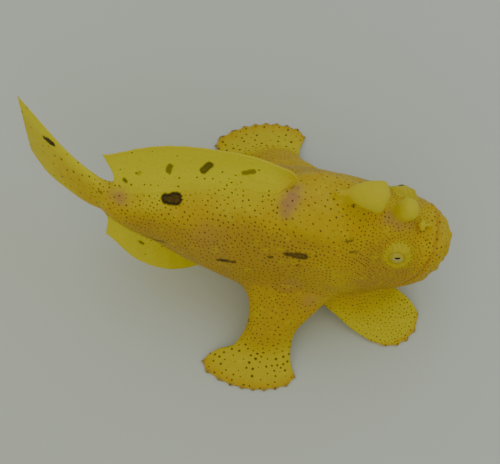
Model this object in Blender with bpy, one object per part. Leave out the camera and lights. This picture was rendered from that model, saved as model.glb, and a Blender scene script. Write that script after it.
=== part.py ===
"""A life-size yellow frogfish that stands on its four paired fins, as a still display model.

The head points along +X, the fish's left side along +Y, and the floor is z = 0. Sizes are in millimetres
here and become metres when a mesh is written. Every sub-part is one closed solid, with a small gap to the
solid that it grows from. The fin rays are ridges raised in the two faces of their membrane.
"""

import math

import bmesh
import bpy
from mathutils import Matrix, Vector

MM = 0.001
GAP = 0.3
FRONT, LEFT, UP = Vector((1, 0, 0)), Vector((0, 1, 0)), Vector((0, 0, 1))
SIDES = {"right": -1, "left": 1}

# Sections of the body, nose to tail: station x, sideways bend y, back height, belly height, half width,
# and roll in degrees, where a positive roll carries the back towards the fish's left.
SECTIONS = (
    (54.0, -3.2, 39.0, 34.8, 2.6, 2.0),
    (53.1, -3.1, 42.0, 30.0, 6.7, 2.0),
    (51.0, -2.9, 44.8, 24.6, 9.9, 2.5),
    (47.0, -2.4, 47.0, 18.2, 12.8, 3.0),
    (41.5, -1.7, 48.8, 12.8, 14.9, 3.0),
    (35.0, -0.9, 50.8, 9.0, 16.4, 3.0),
    (26.5, -0.6, 54.0, 5.9, 17.6, 2.5),
    (16.5, -0.9, 57.2, 3.8, 18.8, 2.0),
    (6.0, -1.1, 58.8, 3.1, 19.2, 2.5),
    (-5.0, -1.1, 58.6, 4.0, 18.8, 4.0),
    (-16.0, -0.8, 56.4, 7.8, 18.0, 7.0),
    (-26.5, -1.4, 53.2, 13.6, 15.4, 10.0),
    (-36.0, -1.8, 49.8, 19.4, 11.6, 13.0),
    (-44.0, -1.9, 47.0, 24.2, 8.4, 15.0),
    (-51.0, -1.2, 44.6, 27.4, 6.2, 17.0),
    (-57.0, 0.2, 43.4, 28.4, 4.7, 18.5),
    (-63.0, 2.8, 42.6, 29.2, 2.9, 20.0),
)
WAIST = 0.46  # share of the depth, from the belly, at which a section is widest
BACK_POWER, BELLY_POWER = 1.1, 0.86  # how fast a section narrows towards the back and the belly
BODY_RINGS, BODY_SIDES = 40, 28

HEAD_CUT_X, TAIL_CUT_X = 20.5, -24.0  # where the head ends and where the tail stalk begins

EYE_CENTRE = Vector((37.7, 9.6, 42.0))
EYE_RADIUS = 4.0
EYE_AXIS = Vector((0.02, 1.0, 0.45)).normalized()
ORBIT_RIM_RADIUS, ORBIT_RIM_THICKNESS, ORBIT_RIM_DEPTH = 4.3, 1.0, 1.3

MOUTH_TOP = Vector((50.4, 0, 45.4))
JAW_HINGE = Vector((37.0, 0, 24.0))
LIP_RADIUS = 0.85
LIP_SPREAD = math.radians(95)  # how far the lips run down each side from the top of the head
NOSTRIL = Vector((46.6, 5.6, 45.0))
NOSTRIL_RADIUS, NOSTRIL_LENGTH = 0.75, 2.6
CHIN_WART = Vector((53.5, -2.2, 38.4))

MEMBRANE, RAY, EDGE = 0.62, 1.25, 0.5  # thickness of the web, of a ray at its root and of a fin's edge


def lerp(a, b, t):
    return a + (b - a) * t


def smooth(t):
    t = min(max(t, 0.0), 1.0)
    return t * t * (3 - 2 * t)


def through(values, t):
    """The value at t, from 0 to 1, on a smooth curve through evenly spaced numbers or vectors."""
    last = len(values) - 1
    place = min(max(t, 0.0), 1.0) * last
    i = min(int(place), last - 1)
    f = place - i
    p0, p1, p2, p3 = (values[min(max(i + k, 0), last)] for k in (-1, 0, 1, 2))
    return p1 + (p2 - p0) * (0.5 * f) + (p0 * 2 - p1 * 5 + p2 * 4 - p3) * (0.5 * f * f) + (
        p1 * 3 - p0 - p2 * 3 + p3
    ) * (0.5 * f**3)


def mirrored(point, side):
    """A point or direction given for the left side, on the side asked for."""
    return Vector((point.x, point.y * side, point.z))


# The body is a loft of unlike sections along an axis that bends and rolls towards the tail.


def body_frame(s):
    """Centre, leftward and upward direction, half width, rise, fall and forward direction at s, 0 at the nose."""
    x, y, back, belly, half_width, roll = (through([row[k] for row in SECTIONS], s) for k in range(6))
    step = 0.01
    ahead, behind = ([through([row[k] for row in SECTIONS], s + d) for k in range(2)] for d in (-step, step))
    along = Vector((ahead[0] - behind[0], ahead[1] - behind[1], 0)).normalized()
    across = Vector((-along.y, along.x, 0))
    turn = math.radians(roll)
    left = across * math.cos(turn) - UP * math.sin(turn)
    up = UP * math.cos(turn) + across * math.sin(turn)
    waist = lerp(belly, back, WAIST)
    return Vector((x, y, waist)), left, up, half_width, back - waist, waist - belly, along


def body_point(s, angle, grow=0.0):
    """A point of the skin: angle 0 is the back, a quarter turn the left flank, a half turn the belly."""
    centre, left, up, half_width, rise, fall, along = body_frame(s)
    centre += along * (grow * (1 - 2 * s))
    c, n = math.cos(angle), math.sin(angle)
    wide = math.copysign(abs(n) ** (BACK_POWER if c > 0 else BELLY_POWER), n)
    return centre + left * (half_width + grow) * wide + up * ((rise if c > 0 else fall) + grow) * c


def station_at(x):
    """The share s along the body whose section stands at x."""
    low, high = 0.0, 1.0
    for _ in range(40):
        middle = (low + high) / 2
        if body_frame(middle)[0].x > x:
            low = middle
        else:
            high = middle
    return low


# Meshes start as a grid that is rolled into a tube or thickened into a fin.


def face_out(bm):
    """Turns every face of a closed mesh outwards."""
    bmesh.ops.recalc_face_normals(bm, faces=bm.faces)
    if bm.calc_volume(signed=True) < 0:
        bmesh.ops.reverse_faces(bm, faces=bm.faces)
    return bm


def finish(bm, name, colour, roughness):
    """Scales the mesh to metres and links it as a named object with its own material."""
    bmesh.ops.scale(bm, vec=(MM, MM, MM), verts=bm.verts)
    mesh = bpy.data.meshes.new(name)
    bm.to_mesh(mesh)
    bm.free()
    obj = bpy.data.objects.new(name, mesh)
    bpy.data.collections["frogfish"].objects.link(obj)
    material = bpy.data.materials.new(name)
    material.use_nodes = True
    shader = material.node_tree.nodes["Principled BSDF"]
    shader.inputs["Base Color"].default_value = (*colour, 1)
    shader.inputs["Roughness"].default_value = roughness
    obj.data.materials.append(material)
    obj.data.shade_smooth()
    return obj


def tube(around, along, place):
    """A closed bmesh: a grid rolled round, where place(angle, t) gives each point, with its ends filled."""
    bm = bmesh.new()
    bmesh.ops.create_grid(bm, x_segments=around, y_segments=along, size=0.5)
    for v in bm.verts:
        v.co = place(2 * math.pi * (v.co.x + 0.5), v.co.y + 0.5)
    bmesh.ops.remove_doubles(bm, verts=bm.verts, dist=1e-3)
    bmesh.ops.holes_fill(bm, edges=[e for e in bm.edges if e.is_boundary])
    bmesh.ops.triangulate(bm, faces=[f for f in bm.faces if len(f.verts) > 4])
    return face_out(bm)


def stalk(centres, radii, around=12, along=14, square_to=None):
    """A tube round a smooth line through centres, with a smooth run of radii.

    square_to is a direction that the line never runs along, and keeps the tube from twisting."""
    ends = len(centres) - 1
    chord = centres[-1] - centres[0]
    square_to = square_to or min((FRONT, LEFT, UP), key=lambda axis: abs(chord.dot(axis)))

    def place(angle, t):
        centre = through(centres, t)
        ahead = (through(centres, t + 0.5 / ends) - through(centres, t - 0.5 / ends)).normalized()
        side = ahead.cross(square_to).normalized()
        radius = max(through(radii, t), 0.0)
        return centre + side * (radius * math.cos(angle)) + ahead.cross(side) * (radius * math.sin(angle))

    return tube(around, along, place)


def fin_sheet(columns, rows, middle, thickness):
    """A closed thin fin: middle(u, t) is its mid-surface and thickness(u, t) its local thickness.

    columns lists u across the fin. The sheet is triangulated before it is doubled, so both faces match."""
    bm = bmesh.new()
    last = len(columns) - 1
    bmesh.ops.create_grid(bm, x_segments=last, y_segments=rows, size=0.5)
    across, along = (bm.verts.layers.float.new(name) for name in ("across", "along"))
    for v in bm.verts:
        v[across] = columns[round((v.co.x + 0.5) * last)]
        v[along] = v.co.y + 0.5
    bmesh.ops.triangulate(bm, faces=bm.faces)
    first = list(bm.verts)
    made = bmesh.ops.extrude_face_region(bm, geom=list(bm.faces))["geom"]
    second = [g for g in made if isinstance(g, bmesh.types.BMVert)]
    step = 0.01
    for sign, verts in ((1, first), (-1, second)):
        for v in verts:
            u, t = v[across], v[along]
            slope_u = middle(u + step, t) - middle(u - step, t)
            slope_t = middle(u, t + step) - middle(u, t - step)
            normal = slope_u.cross(slope_t).normalized()
            v.co = middle(u, t) + normal * (sign * thickness(u, t) / 2)
    return face_out(bm)


def ray_columns(rays):
    """Values of u from 0 to 1: one on each ray and two in each web between rays."""
    steps = 3 * (rays - 1)
    return [i / steps for i in range(steps + 1)]


def on_ray(u, rays):
    """1 on a ray's line and 0 in the web between rays."""
    return max(0.0, math.cos(2 * math.pi * u * (rays - 1)) * 0.75 + 0.25)


def ray_thickness(u, t, rays, root, swell=1.0):
    """Thickness of a rayed fin: a fleshy root, then rays that taper to the edge with thin web between."""
    web = lerp(root, MEMBRANE, smooth(t / 0.35))
    ridge = (RAY * swell - MEMBRANE) * on_ray(u, rays) * (1 - t) ** 0.6
    return lerp(web + ridge, EDGE, smooth((t - 0.75) / 0.25) * 0.8)


def edge_reach(u, rays, notch):
    """How far the edge reaches at u: full on each ray's tip, and less by notch in the web."""
    return 1 - notch * (1 - on_ray(u, rays))


# Booleans: pieces of one node are joined in one union, and roots are cut back to the body's skin.


def baked(obj):
    """Applies the object's modifiers to its mesh."""
    graph = bpy.context.evaluated_depsgraph_get()
    mesh = bpy.data.meshes.new_from_object(obj.evaluated_get(graph))
    obj.modifiers.clear()
    obj.data = mesh
    return obj


def keep_largest(obj):
    """Keeps only the largest closed surface of the mesh."""
    bm = bmesh.new()
    bm.from_mesh(obj.data)
    bmesh.ops.remove_doubles(bm, verts=bm.verts, dist=1e-6)
    left, islands = set(bm.verts), []
    while left:
        island, edge = set(), [left.pop()]
        while edge:
            v = edge.pop()
            island.add(v)
            for e in v.link_edges:
                other = e.other_vert(v)
                if other in left:
                    left.discard(other)
                    edge.append(other)
        islands.append(island)
    islands.sort(key=len)
    bmesh.ops.delete(bm, geom=[v for island in islands[:-1] for v in island], context="VERTS")
    bm.to_mesh(obj.data)
    bm.free()
    return obj


def boolean(obj, operation, other=None, collection=None):
    modifier = obj.modifiers.new(operation.lower(), "BOOLEAN")
    modifier.operation = operation
    modifier.solver = "MANIFOLD"
    if collection:
        modifier.operand_type = "COLLECTION"
        modifier.collection = collection
    else:
        modifier.object = other
    return keep_largest(baked(obj))


def helper(bm, name):
    """A cutter or joined piece, in metres, in the collection of cutters and left out of the render."""
    bmesh.ops.scale(bm, vec=(MM, MM, MM), verts=bm.verts)
    mesh = bpy.data.meshes.new(name)
    bm.to_mesh(mesh)
    bm.free()
    obj = bpy.data.objects.new(name, mesh)
    bpy.data.collections["cutters"].objects.link(obj)
    obj.hide_render = True
    obj.display_type = "WIRE"
    return obj


def join(obj, pieces):
    """One Boolean union of the object with a collection of closed pieces, which are then removed."""
    group = bpy.data.collections.new("joined_pieces")
    bpy.context.scene.collection.children.link(group)
    for bm in pieces:
        piece = helper(bm, "piece")
        bpy.data.collections["cutters"].objects.unlink(piece)
        group.objects.link(piece)
    bpy.context.view_layer.update()
    boolean(obj, "UNION", collection=group)
    for piece in list(group.objects):
        bpy.data.objects.remove(piece)
    bpy.data.collections.remove(group)
    return obj


def slab(centre, along, length, reach):
    """A box that starts at centre and runs along a direction, wide enough to cut the whole body."""
    bm = bmesh.new()
    bmesh.ops.create_cube(bm, size=1)
    turn = UP.rotation_difference(along).to_matrix().to_4x4()
    bmesh.ops.scale(bm, vec=(reach, reach, length), verts=bm.verts)
    bmesh.ops.translate(bm, vec=(0, 0, length / 2), verts=bm.verts)
    bmesh.ops.transform(bm, matrix=Matrix.Translation(centre) @ turn, verts=bm.verts)
    return bm


def orb(centre, radius, around=20, rings=12, axis=UP):
    bm = bmesh.new()
    bmesh.ops.create_uvsphere(bm, u_segments=around, v_segments=rings, radius=radius)
    turn = UP.rotation_difference(axis).to_matrix().to_4x4()
    bmesh.ops.transform(bm, matrix=Matrix.Translation(centre) @ turn, verts=bm.verts)
    return bm


# Head, torso, tail stalk and lower jaw come from one loft, parted with thin cuts.


def body_mesh(grow=0.0):
    return tube(BODY_SIDES, BODY_RINGS, lambda angle, t: body_point(t, angle, grow))


def mouth_axes():
    """The direction up the closed mouth, and the direction out of it, square to that."""
    up_mouth = (MOUTH_TOP - JAW_HINGE).normalized()
    return up_mouth, Vector((up_mouth.z, 0, -up_mouth.x))


def lip_line(offset):
    """Points where the mouth plane, moved out by offset, meets the skin, from one side to the other."""
    _, out = mouth_axes()
    points = []
    for i in range(17):
        angle = lerp(-LIP_SPREAD, LIP_SPREAD, i / 16)
        low, high = 0.0, station_at(JAW_HINGE.x - 4)
        for _ in range(30):
            middle = (low + high) / 2
            if (body_point(middle, angle) - MOUTH_TOP).dot(out) > offset:
                low = middle
            else:
                high = middle
        points.append(body_point(low, angle, -0.35 * LIP_RADIUS))
    return points


def lip(offset):
    radii = [0.3] + [LIP_RADIUS] * 9 + [0.3]
    return stalk(lip_line(offset), radii, around=6, along=22, square_to=mouth_axes()[1])


def orbit_rim(side):
    """The raised ring of skin round an eye."""
    axis = mirrored(EYE_AXIS, side)
    centre = mirrored(EYE_CENTRE, side) + axis * (EYE_RADIUS - ORBIT_RIM_DEPTH - 1.0)
    turn = UP.rotation_difference(axis)

    def place(angle, t):
        round_eye = 2 * math.pi * t
        out = Vector((math.cos(round_eye), math.sin(round_eye), 0))
        tube_point = out * (ORBIT_RIM_RADIUS + ORBIT_RIM_THICKNESS * math.cos(angle))
        return centre + turn @ (tube_point + UP * (ORBIT_RIM_THICKNESS * 1.5 * math.sin(angle)))

    bm = bmesh.new()
    bmesh.ops.create_grid(bm, x_segments=6, y_segments=20, size=0.5)
    for v in bm.verts:
        v.co = place(2 * math.pi * (v.co.x + 0.5), v.co.y + 0.5)
    bmesh.ops.remove_doubles(bm, verts=bm.verts, dist=1e-3)
    return face_out(bm)


def nostril(side):
    """A short skin tube with an open, cupped end."""
    base = mirrored(NOSTRIL, side)
    lean = mirrored(Vector((0.45, 0.35, 1.0)), side).normalized()
    centres = [base - lean * 1.6, base, base + lean * NOSTRIL_LENGTH * 0.5, base + lean * NOSTRIL_LENGTH * 0.8]
    return stalk(centres, [NOSTRIL_RADIUS * 1.5, NOSTRIL_RADIUS * 1.2, NOSTRIL_RADIUS, NOSTRIL_RADIUS * 0.8], 10, 6)


def build_body(colour):
    torso = finish(body_mesh(), "torso", colour, 0.55)
    bpy.context.view_layer.update()
    whole = torso.data.copy()
    ahead = helper(slab(Vector((HEAD_CUT_X - GAP / 2, 0, 30)), FRONT, 80, 160), "ahead_of_neck")
    behind = helper(slab(Vector((TAIL_CUT_X + GAP / 2, 0, 30)), -FRONT, 80, 160), "behind_torso")
    boolean(torso, "DIFFERENCE", ahead)
    boolean(torso, "DIFFERENCE", behind)

    tail = bpy.data.objects.new("tail_stalk", whole.copy())
    bpy.data.collections["frogfish"].objects.link(tail)
    keep = helper(slab(Vector((TAIL_CUT_X - GAP / 2, 0, 30)), -FRONT, 80, 160), "tail_keeper")
    boolean(tail, "INTERSECT", keep)

    head = bpy.data.objects.new("head", whole)
    bpy.data.collections["frogfish"].objects.link(head)
    keep = helper(slab(Vector((HEAD_CUT_X + GAP / 2, 0, 30)), FRONT, 80, 160), "head_keeper")
    boolean(head, "INTERSECT", keep)
    chin = orb(CHIN_WART, 1.3, 8, 6, FRONT)
    features = [orbit_rim(side) for side in SIDES.values()] + [nostril(side) for side in SIDES.values()]
    features += [lip(LIP_RADIUS), lip(-LIP_RADIUS), chin]
    join(head, features)
    for name, side in SIDES.items():
        socket = helper(orb(mirrored(EYE_CENTRE, side), EYE_RADIUS + GAP, axis=mirrored(EYE_AXIS, side)), "socket")
        boolean(head, "DIFFERENCE", socket)

    up_mouth, out = mouth_axes()
    jaw = bpy.data.objects.new("lower_jaw", head.data.copy())
    bpy.data.collections["frogfish"].objects.link(jaw)
    reach = 70
    for piece, shift, operation in ((jaw, GAP / 2, "INTERSECT"), (head, -GAP / 2, "DIFFERENCE")):
        corner = JAW_HINGE + (out + up_mouth) * shift
        box = slab(corner + up_mouth * reach / 2, out, reach, reach)
        boolean(piece, operation, helper(box, "jaw_box"))
    return torso, tail, head, jaw


# Fins. u runs across a fin from its front edge to its rear one, and t from its root to its tips.

DORSAL_RAYS, DORSAL_BASE_X, DORSAL_LEAN = 13, (-1.5, -53.0), math.radians(12)
DORSAL_TIP_X, DORSAL_TIP_POWER = (2.2, -62.5), 1.15
DORSAL_HEIGHTS = (8.0, 11.4, 14.4, 16.6, 16.8, 15.4, 12.6)
ANAL_RAYS, ANAL_BASE_X, ANAL_SPLAY = 8, (-24.0, -57.5), math.radians(-22)
ANAL_TIP_X = (-24.0, -56.6)
ANAL_HEIGHTS = (6.0, 10.6, 13.4, 13.2, 8.0)
CAUDAL_RAYS = 9
CAUDAL_TOP = [Vector(p) for p in ((-57, 1.6, 41.6), (-65, 5.8, 43.6), (-73.5, 11.4, 45.8), (-82, 18.6, 48.2), (-92.0, 27.6, 50.6))]
CAUDAL_BOTTOM = [Vector(p) for p in ((-57, -1.4, 30), (-65.4, 1.2, 27.6), (-74, 6.0, 26), (-82.5, 12, 25.2), (-91, 21.6, 25.4))]
ROOT_SINK = 3.0


def median_fin(u, t, base_x, tip_x, power, heights, lean, belly):
    """A point of the dorsal or anal fin's mid-surface. It stands on the body's midline and leans sideways."""
    s = station_at(lerp(*base_x, u))
    root = body_point(s, math.pi if belly else 0.0, -ROOT_SINK)
    _, left, up, *_ = body_frame(s)
    rise = (-up if belly else up) * math.cos(lean) + left * math.sin(lean)
    height = through(heights, u) + ROOT_SINK
    forward = lerp(tip_x[0], tip_x[1], max(u, 0) ** power) - lerp(*base_x, u)
    bow = left * (math.sin(math.pi * t) * 0.06 * height * (1 if lean > 0 else -1))
    sweep = lerp(0.75, 1.25, smooth(min(u, 1 - u) / 0.15))
    return root + rise * (height * t) + FRONT * (forward * max(t, 0) ** sweep) + bow


def build_median_fin(name, rays, notch, root_thickness, colour, body_cutter, **shape):
    def middle(u, t):
        return median_fin(u, t * edge_reach(u, rays, notch * smooth(t)), **shape)

    def thickness(u, t):
        return ray_thickness(u, t, rays, root_thickness)

    fin = finish(fin_sheet(ray_columns(rays), 7, middle, thickness), name, colour, 0.5)
    bpy.context.view_layer.update()
    return boolean(fin, "DIFFERENCE", body_cutter)


def build_caudal_fin(colour, body_cutter):
    def middle(u, t):
        end = 1 - 0.08 * u**2 * smooth(t)
        reach = t * edge_reach(u, CAUDAL_RAYS, 0.04 * smooth(t)) * end
        bow = Vector((0.5, -0.8, 0)) * (math.sin(math.pi * u) * 1.6 * t)
        return through(CAUDAL_TOP, reach).lerp(through(CAUDAL_BOTTOM, reach), u) + bow

    def thickness(u, t):
        flesh = lerp(3.2 * math.sin(math.pi * lerp(0.15, 0.85, u)), 0, smooth(t / 0.5))
        return ray_thickness(u, t, CAUDAL_RAYS, MEMBRANE) + flesh

    fin = finish(fin_sheet(ray_columns(CAUDAL_RAYS), 9, middle, thickness), "caudal_fin", colour, 0.5)
    bpy.context.view_layer.update()
    return boolean(fin, "DIFFERENCE", body_cutter)


# The paired fins. Each runs along a limb axis from inside the body to its spread tips on the floor.

PECTORAL_RAYS, PELVIC_RAYS = 10, 6
PECTORAL = {
    "axis": [Vector(p) for p in ((6, 8, 22), (2.5, 20, 18), (-1.2, 31, 10.2), (-4, 39.5, 2.6), (-6.5, 49, 0.35))],
    "front": [Vector(p) for p in ((23, 8, 18), (16, 21, 15), (7.6, 30, 9.0), (6.8, 38.5, 2.4), (10.2, 46, 0.35))],
    "rear": [Vector(p) for p in ((-9, 8, 21), (-9, 21, 18.5), (-9.4, 31, 10.4), (-15.5, 38.4, 2.9), (-25.4, 44.2, 0.35))],
    "thickness": (15.0, 12.0, 8.0, 2.6, 0.9),
    "wrist": 0.52,
    "bulge": 4.0,
}
PELVIC = {
    "axis": [Vector(p) for p in ((18, 6, 9.5), (24.5, 11.5, 8.6), (31.5, 17.5, 5.6), (38, 23.5, 2.1), (44, 27.6, 0.35))],
    "front": [Vector(p) for p in ((25, 3, 9.5), (32, 6.5, 8.6), (39.5, 9.4, 5.4), (46, 13, 2.0), (49.9, 18.4, 0.35))],
    "rear": [Vector(p) for p in ((10, 9, 9), (14.2, 17.6, 8.2), (20.6, 21.8, 5.6), (27.0, 25.2, 2.2), (34.6, 28.8, 0.35))],
    "thickness": (9.0, 7.4, 4.8, 2.2, 0.9),
    "wrist": 0.42,
    "bulge": 2.0,
}
# How far each limb is swung about the vertical at its shoulder, in degrees, and then drawn in to the body.
POSE = {
    ("pectoral", "right"): (0.0, 0.0),
    ("pectoral", "left"): (9.0, -0.6),
    ("pelvic", "right"): (0.0, 0.0),
    ("pelvic", "left"): (-9.0, 0.0),
}
FLOOR_CLEAR = 0.0


def limb_middle(limb, u, t, side, swing, draw_in):
    """A point of a paired fin's mid-surface, u from its front edge to its rear edge."""
    front, axis, rear = (through(limb[key], t) for key in ("front", "axis", "rear"))
    across = front * (1 - u) ** 2 + (axis * 2 - (front + rear) / 2) * (2 * u * (1 - u)) + rear * u**2
    bulge = limb["bulge"] * math.sin(math.pi * u) * smooth((t - 0.55) / 0.45)
    outward = (axis - through(limb["axis"], t - 0.1)).normalized()
    point = across + Vector((outward.x, outward.y, 0)) * (bulge * 0.35)
    pivot = limb["axis"][0]
    turned = Matrix.Rotation(math.radians(swing), 3, "Z") @ (point - pivot) + pivot - LEFT * draw_in
    return mirrored(turned, side)


def limb_thickness(limb, u, t, rays):
    """Round and fleshy along the arm, then thin with rays over the spread foot."""
    flesh = through(limb["thickness"], t) * math.sqrt(max(0.0, 1 - (2 * u - 1) ** 2 * 0.98))
    spread = smooth((t - limb["wrist"]) / (1 - limb["wrist"]))
    ridge = 0.65 * on_ray(u, rays) * spread * (1 - smooth((t - 0.9) / 0.1) * 0.6)
    return max(flesh, EDGE + 0.15) * lerp(1, 0.85, spread) + ridge


def build_limb(limb, kind, side_name, rays, colour, body_cutter):
    """A fleshy limb node and its spread foot node, which meet at the wrist."""
    side, (swing, draw_in) = SIDES[side_name], POSE[kind, side_name]
    wrist = limb["wrist"]
    break_gap = GAP / 2 / (limb["axis"][-1] - limb["axis"][0]).length

    def point(u, t):
        return limb_middle(limb, u, t, side, swing, draw_in)

    def foot_middle(u, t):
        end = 1 - 0.1 * (2 * u - 1) ** 6 * smooth(t)
        return point(u, lerp(wrist + break_gap, 1, t * edge_reach(u, rays, 0.05 * smooth(t)) * end))

    def foot_thickness(u, t):
        return limb_thickness(limb, u, lerp(wrist + break_gap, 1, t), rays)

    def arm_middle(u, t):
        return point(u, lerp(0, wrist - break_gap, t))

    def arm_thickness(u, t):
        return limb_thickness(limb, u, lerp(0, wrist - break_gap, t), rays)

    foot = fin_sheet(ray_columns(rays), 7, foot_middle, foot_thickness)
    set_down(foot)
    arm_columns = [(1 - math.cos(math.pi * i / 12)) / 2 for i in range(13)]
    arm = fin_sheet(arm_columns, 6, arm_middle, arm_thickness)
    foot = finish(foot, f"{kind}_fin_{side_name}", colour, 0.5)
    arm = finish(arm, f"{kind}_arm_{side_name}" if kind == "pectoral" else f"{kind}_stalk_{side_name}", colour, 0.55)
    bpy.context.view_layer.update()
    boolean(arm, "DIFFERENCE", body_cutter)
    return foot, arm


def set_down(bm):
    """Flattens what would dip below the floor onto it, as the soft foot of the fin does."""
    for v in bm.verts:
        v.co.z = max(v.co.z, FLOOR_CLEAR)


# Dorsal spines: the lure's rod with its bait, the club between the eyes, and the webbed club on the nape.


def build_spines(colour, pale, body_cutter):
    rod_line = [Vector(p) for p in ((46.9, -1.3, 44.4), (47.4, -1.7, 47.7), (46.8, -2.1, 49.2), (45.2, -2.3, 49.4))]
    rod = finish(stalk(rod_line, [0.9, 0.65, 0.5, 0.45], 8, 14), "dorsal_spine_first", pale, 0.5)
    bait = [stalk([rod_line[-1] + Vector(a), rod_line[-1] + Vector(b)], [0.45, r, 0.3], 8, 6) for a, b, r in (
        ((0.5, 0, 0), (-2.0, 0.1, -0.3), 1.0), ((0.3, -0.2, 0), (-1.1, -1.7, -0.2), 0.8), ((0.3, 0.2, 0), (-1.1, 1.6, 0.2), 0.8))]
    join(rod, bait)
    boolean(rod, "DIFFERENCE", body_cutter)

    club = [Vector(p) for p in ((36.6, 0.6, 46.5), (37.4, 0.8, 50.5), (39.4, 1.2, 54.4), (41.8, 1.4, 56.6))]
    second = finish(stalk(club, [2.0, 2.2, 2.8, 3.4, 3.6, 2.9, 0.3], 14, 14), "dorsal_spine_second", pale, 0.5)
    bpy.context.view_layer.update()
    boolean(second, "DIFFERENCE", body_cutter)

    bulb = [Vector(p) for p in ((16.0, 1.2, 60.0), (20.5, 1.2, 61.4), (25.6, 0.9, 62.4), (30.4, 0.6, 62.6), (32.9, 0.5, 62.3))]
    third = finish(stalk(bulb, [1.0, 1.9, 4.6, 4.8, 0.3], 16, 14), "dorsal_spine_third", pale, 0.5)
    shaft = stalk([Vector((30.5, 0.8, 48)), Vector((29.0, 1.0, 55)), Vector((27.5, 1.2, 61))], [3.0, 2.5, 3.4], 12, 6)

    def web_middle(u, t):
        x = lerp(4.5, 29.5, u)
        floor = body_point(station_at(x), 0.0, -2.5)
        top = Vector((x, 1.0 * smooth(u * 2), lerp(58.9, 62.5, smooth(u * 1.15))))
        return Vector((x, floor.y, floor.z)).lerp(top, t)

    web = fin_sheet([i / 12 for i in range(13)], 4, web_middle, lambda u, t: lerp(3.2, 1.8, t))
    join(third, [shaft, web])
    boolean(third, "DIFFERENCE", body_cutter)
    return rod, second, third


def build_eyes(colour):
    for name, side in SIDES.items():
        ball = orb(mirrored(EYE_CENTRE, side), EYE_RADIUS, axis=mirrored(EYE_AXIS, side))
        finish(ball, f"eye_{name}", colour, 0.1)


def centre_on_floor():
    """Moves every mesh so that the origin is the bottom centre of the whole fish's box."""
    meshes = [obj.data for obj in bpy.data.collections["frogfish"].objects]
    corners = [v.co for mesh in meshes for v in mesh.vertices]
    low, high = (Vector([pick(c[k] for c in corners) for k in range(3)]) for pick in (min, max))
    shift = Matrix.Translation(Vector((-(low.x + high.x) / 2, -(low.y + high.y) / 2, -low.z)))
    for mesh in meshes:
        mesh.transform(shift)


def main():
    for obj in list(bpy.data.objects):
        bpy.data.objects.remove(obj)
    for name in ("frogfish", "cutters"):
        collection = bpy.data.collections.new(name)
        bpy.context.scene.collection.children.link(collection)
    bpy.data.collections["cutters"].hide_render = True

    skin, fin, pale, iris = (0.52, 0.38, 0.03), (0.60, 0.46, 0.03), (0.66, 0.58, 0.16), (0.35, 0.33, 0.05)
    body_cutter = helper(body_mesh(GAP), "body_cutter")
    build_body(skin)
    build_median_fin(
        "dorsal_fin", DORSAL_RAYS, 0.03, 3.0, fin, body_cutter, base_x=DORSAL_BASE_X, tip_x=DORSAL_TIP_X,
        power=DORSAL_TIP_POWER, heights=DORSAL_HEIGHTS, lean=DORSAL_LEAN, belly=False,
    )
    build_median_fin(
        "anal_fin", ANAL_RAYS, 0.07, 2.6, fin, body_cutter, base_x=ANAL_BASE_X, tip_x=ANAL_TIP_X,
        power=1.0, heights=ANAL_HEIGHTS, lean=ANAL_SPLAY, belly=True,
    )
    build_caudal_fin(fin, body_cutter)
    for side_name in SIDES:
        build_limb(PECTORAL, "pectoral", side_name, PECTORAL_RAYS, fin, body_cutter)
        build_limb(PELVIC, "pelvic", side_name, PELVIC_RAYS, fin, body_cutter)
    build_spines(skin, pale, body_cutter)
    build_eyes(iris)
    centre_on_floor()


main()
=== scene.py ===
"""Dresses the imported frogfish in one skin, soft fins and limbs, clubbed spines and wet eyes.

Shapes are worked out in millimetres in the fish's own frame, where x runs forward from mid-length, y to the
fish's left and z up from the floor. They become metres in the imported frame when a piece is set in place.
"""

import math

import bmesh
import bpy
import numpy as np
from mathutils import Matrix, Vector, noise
from mathutils.bvhtree import BVHTree
from mathutils.kdtree import KDTree


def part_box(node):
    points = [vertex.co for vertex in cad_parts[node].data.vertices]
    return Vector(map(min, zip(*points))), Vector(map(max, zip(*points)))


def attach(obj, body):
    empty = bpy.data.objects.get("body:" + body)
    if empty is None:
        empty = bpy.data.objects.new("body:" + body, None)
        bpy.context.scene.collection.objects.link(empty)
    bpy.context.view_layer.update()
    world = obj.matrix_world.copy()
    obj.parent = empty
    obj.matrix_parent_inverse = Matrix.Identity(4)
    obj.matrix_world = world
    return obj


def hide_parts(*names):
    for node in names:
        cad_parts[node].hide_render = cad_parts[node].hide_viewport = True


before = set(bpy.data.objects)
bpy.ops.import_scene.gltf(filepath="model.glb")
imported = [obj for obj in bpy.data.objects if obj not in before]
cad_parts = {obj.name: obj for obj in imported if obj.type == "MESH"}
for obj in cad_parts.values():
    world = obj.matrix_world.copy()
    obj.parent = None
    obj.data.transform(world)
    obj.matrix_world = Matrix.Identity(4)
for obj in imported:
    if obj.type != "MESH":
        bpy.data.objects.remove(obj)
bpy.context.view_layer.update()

MM = 0.001
UP, FRONT, LEFT = np.array([0, 0, 1.0]), np.array([1.0, 0, 0]), np.array([0, 1.0, 0])
SIDES = {"right": -1, "left": 1}

# How fine the meshes are, as counts of points round and along them.
SKIN_AROUND, BODY_RINGS, TAIL_RINGS = 216, 236, 64
FIN_PER_RAY, FIN_ALONG = 12, 60
PECTORAL_AROUND, PELVIC_AROUND, LIMB_ALONG = 260, 190, 120
# How fine the remeshed spines are, in millimetres.
LURE_VOXEL, CLUB_VOXEL, NAPE_VOXEL = 0.13, 0.24, 0.32

# The driving sizes of the solids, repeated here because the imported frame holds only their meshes.

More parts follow.
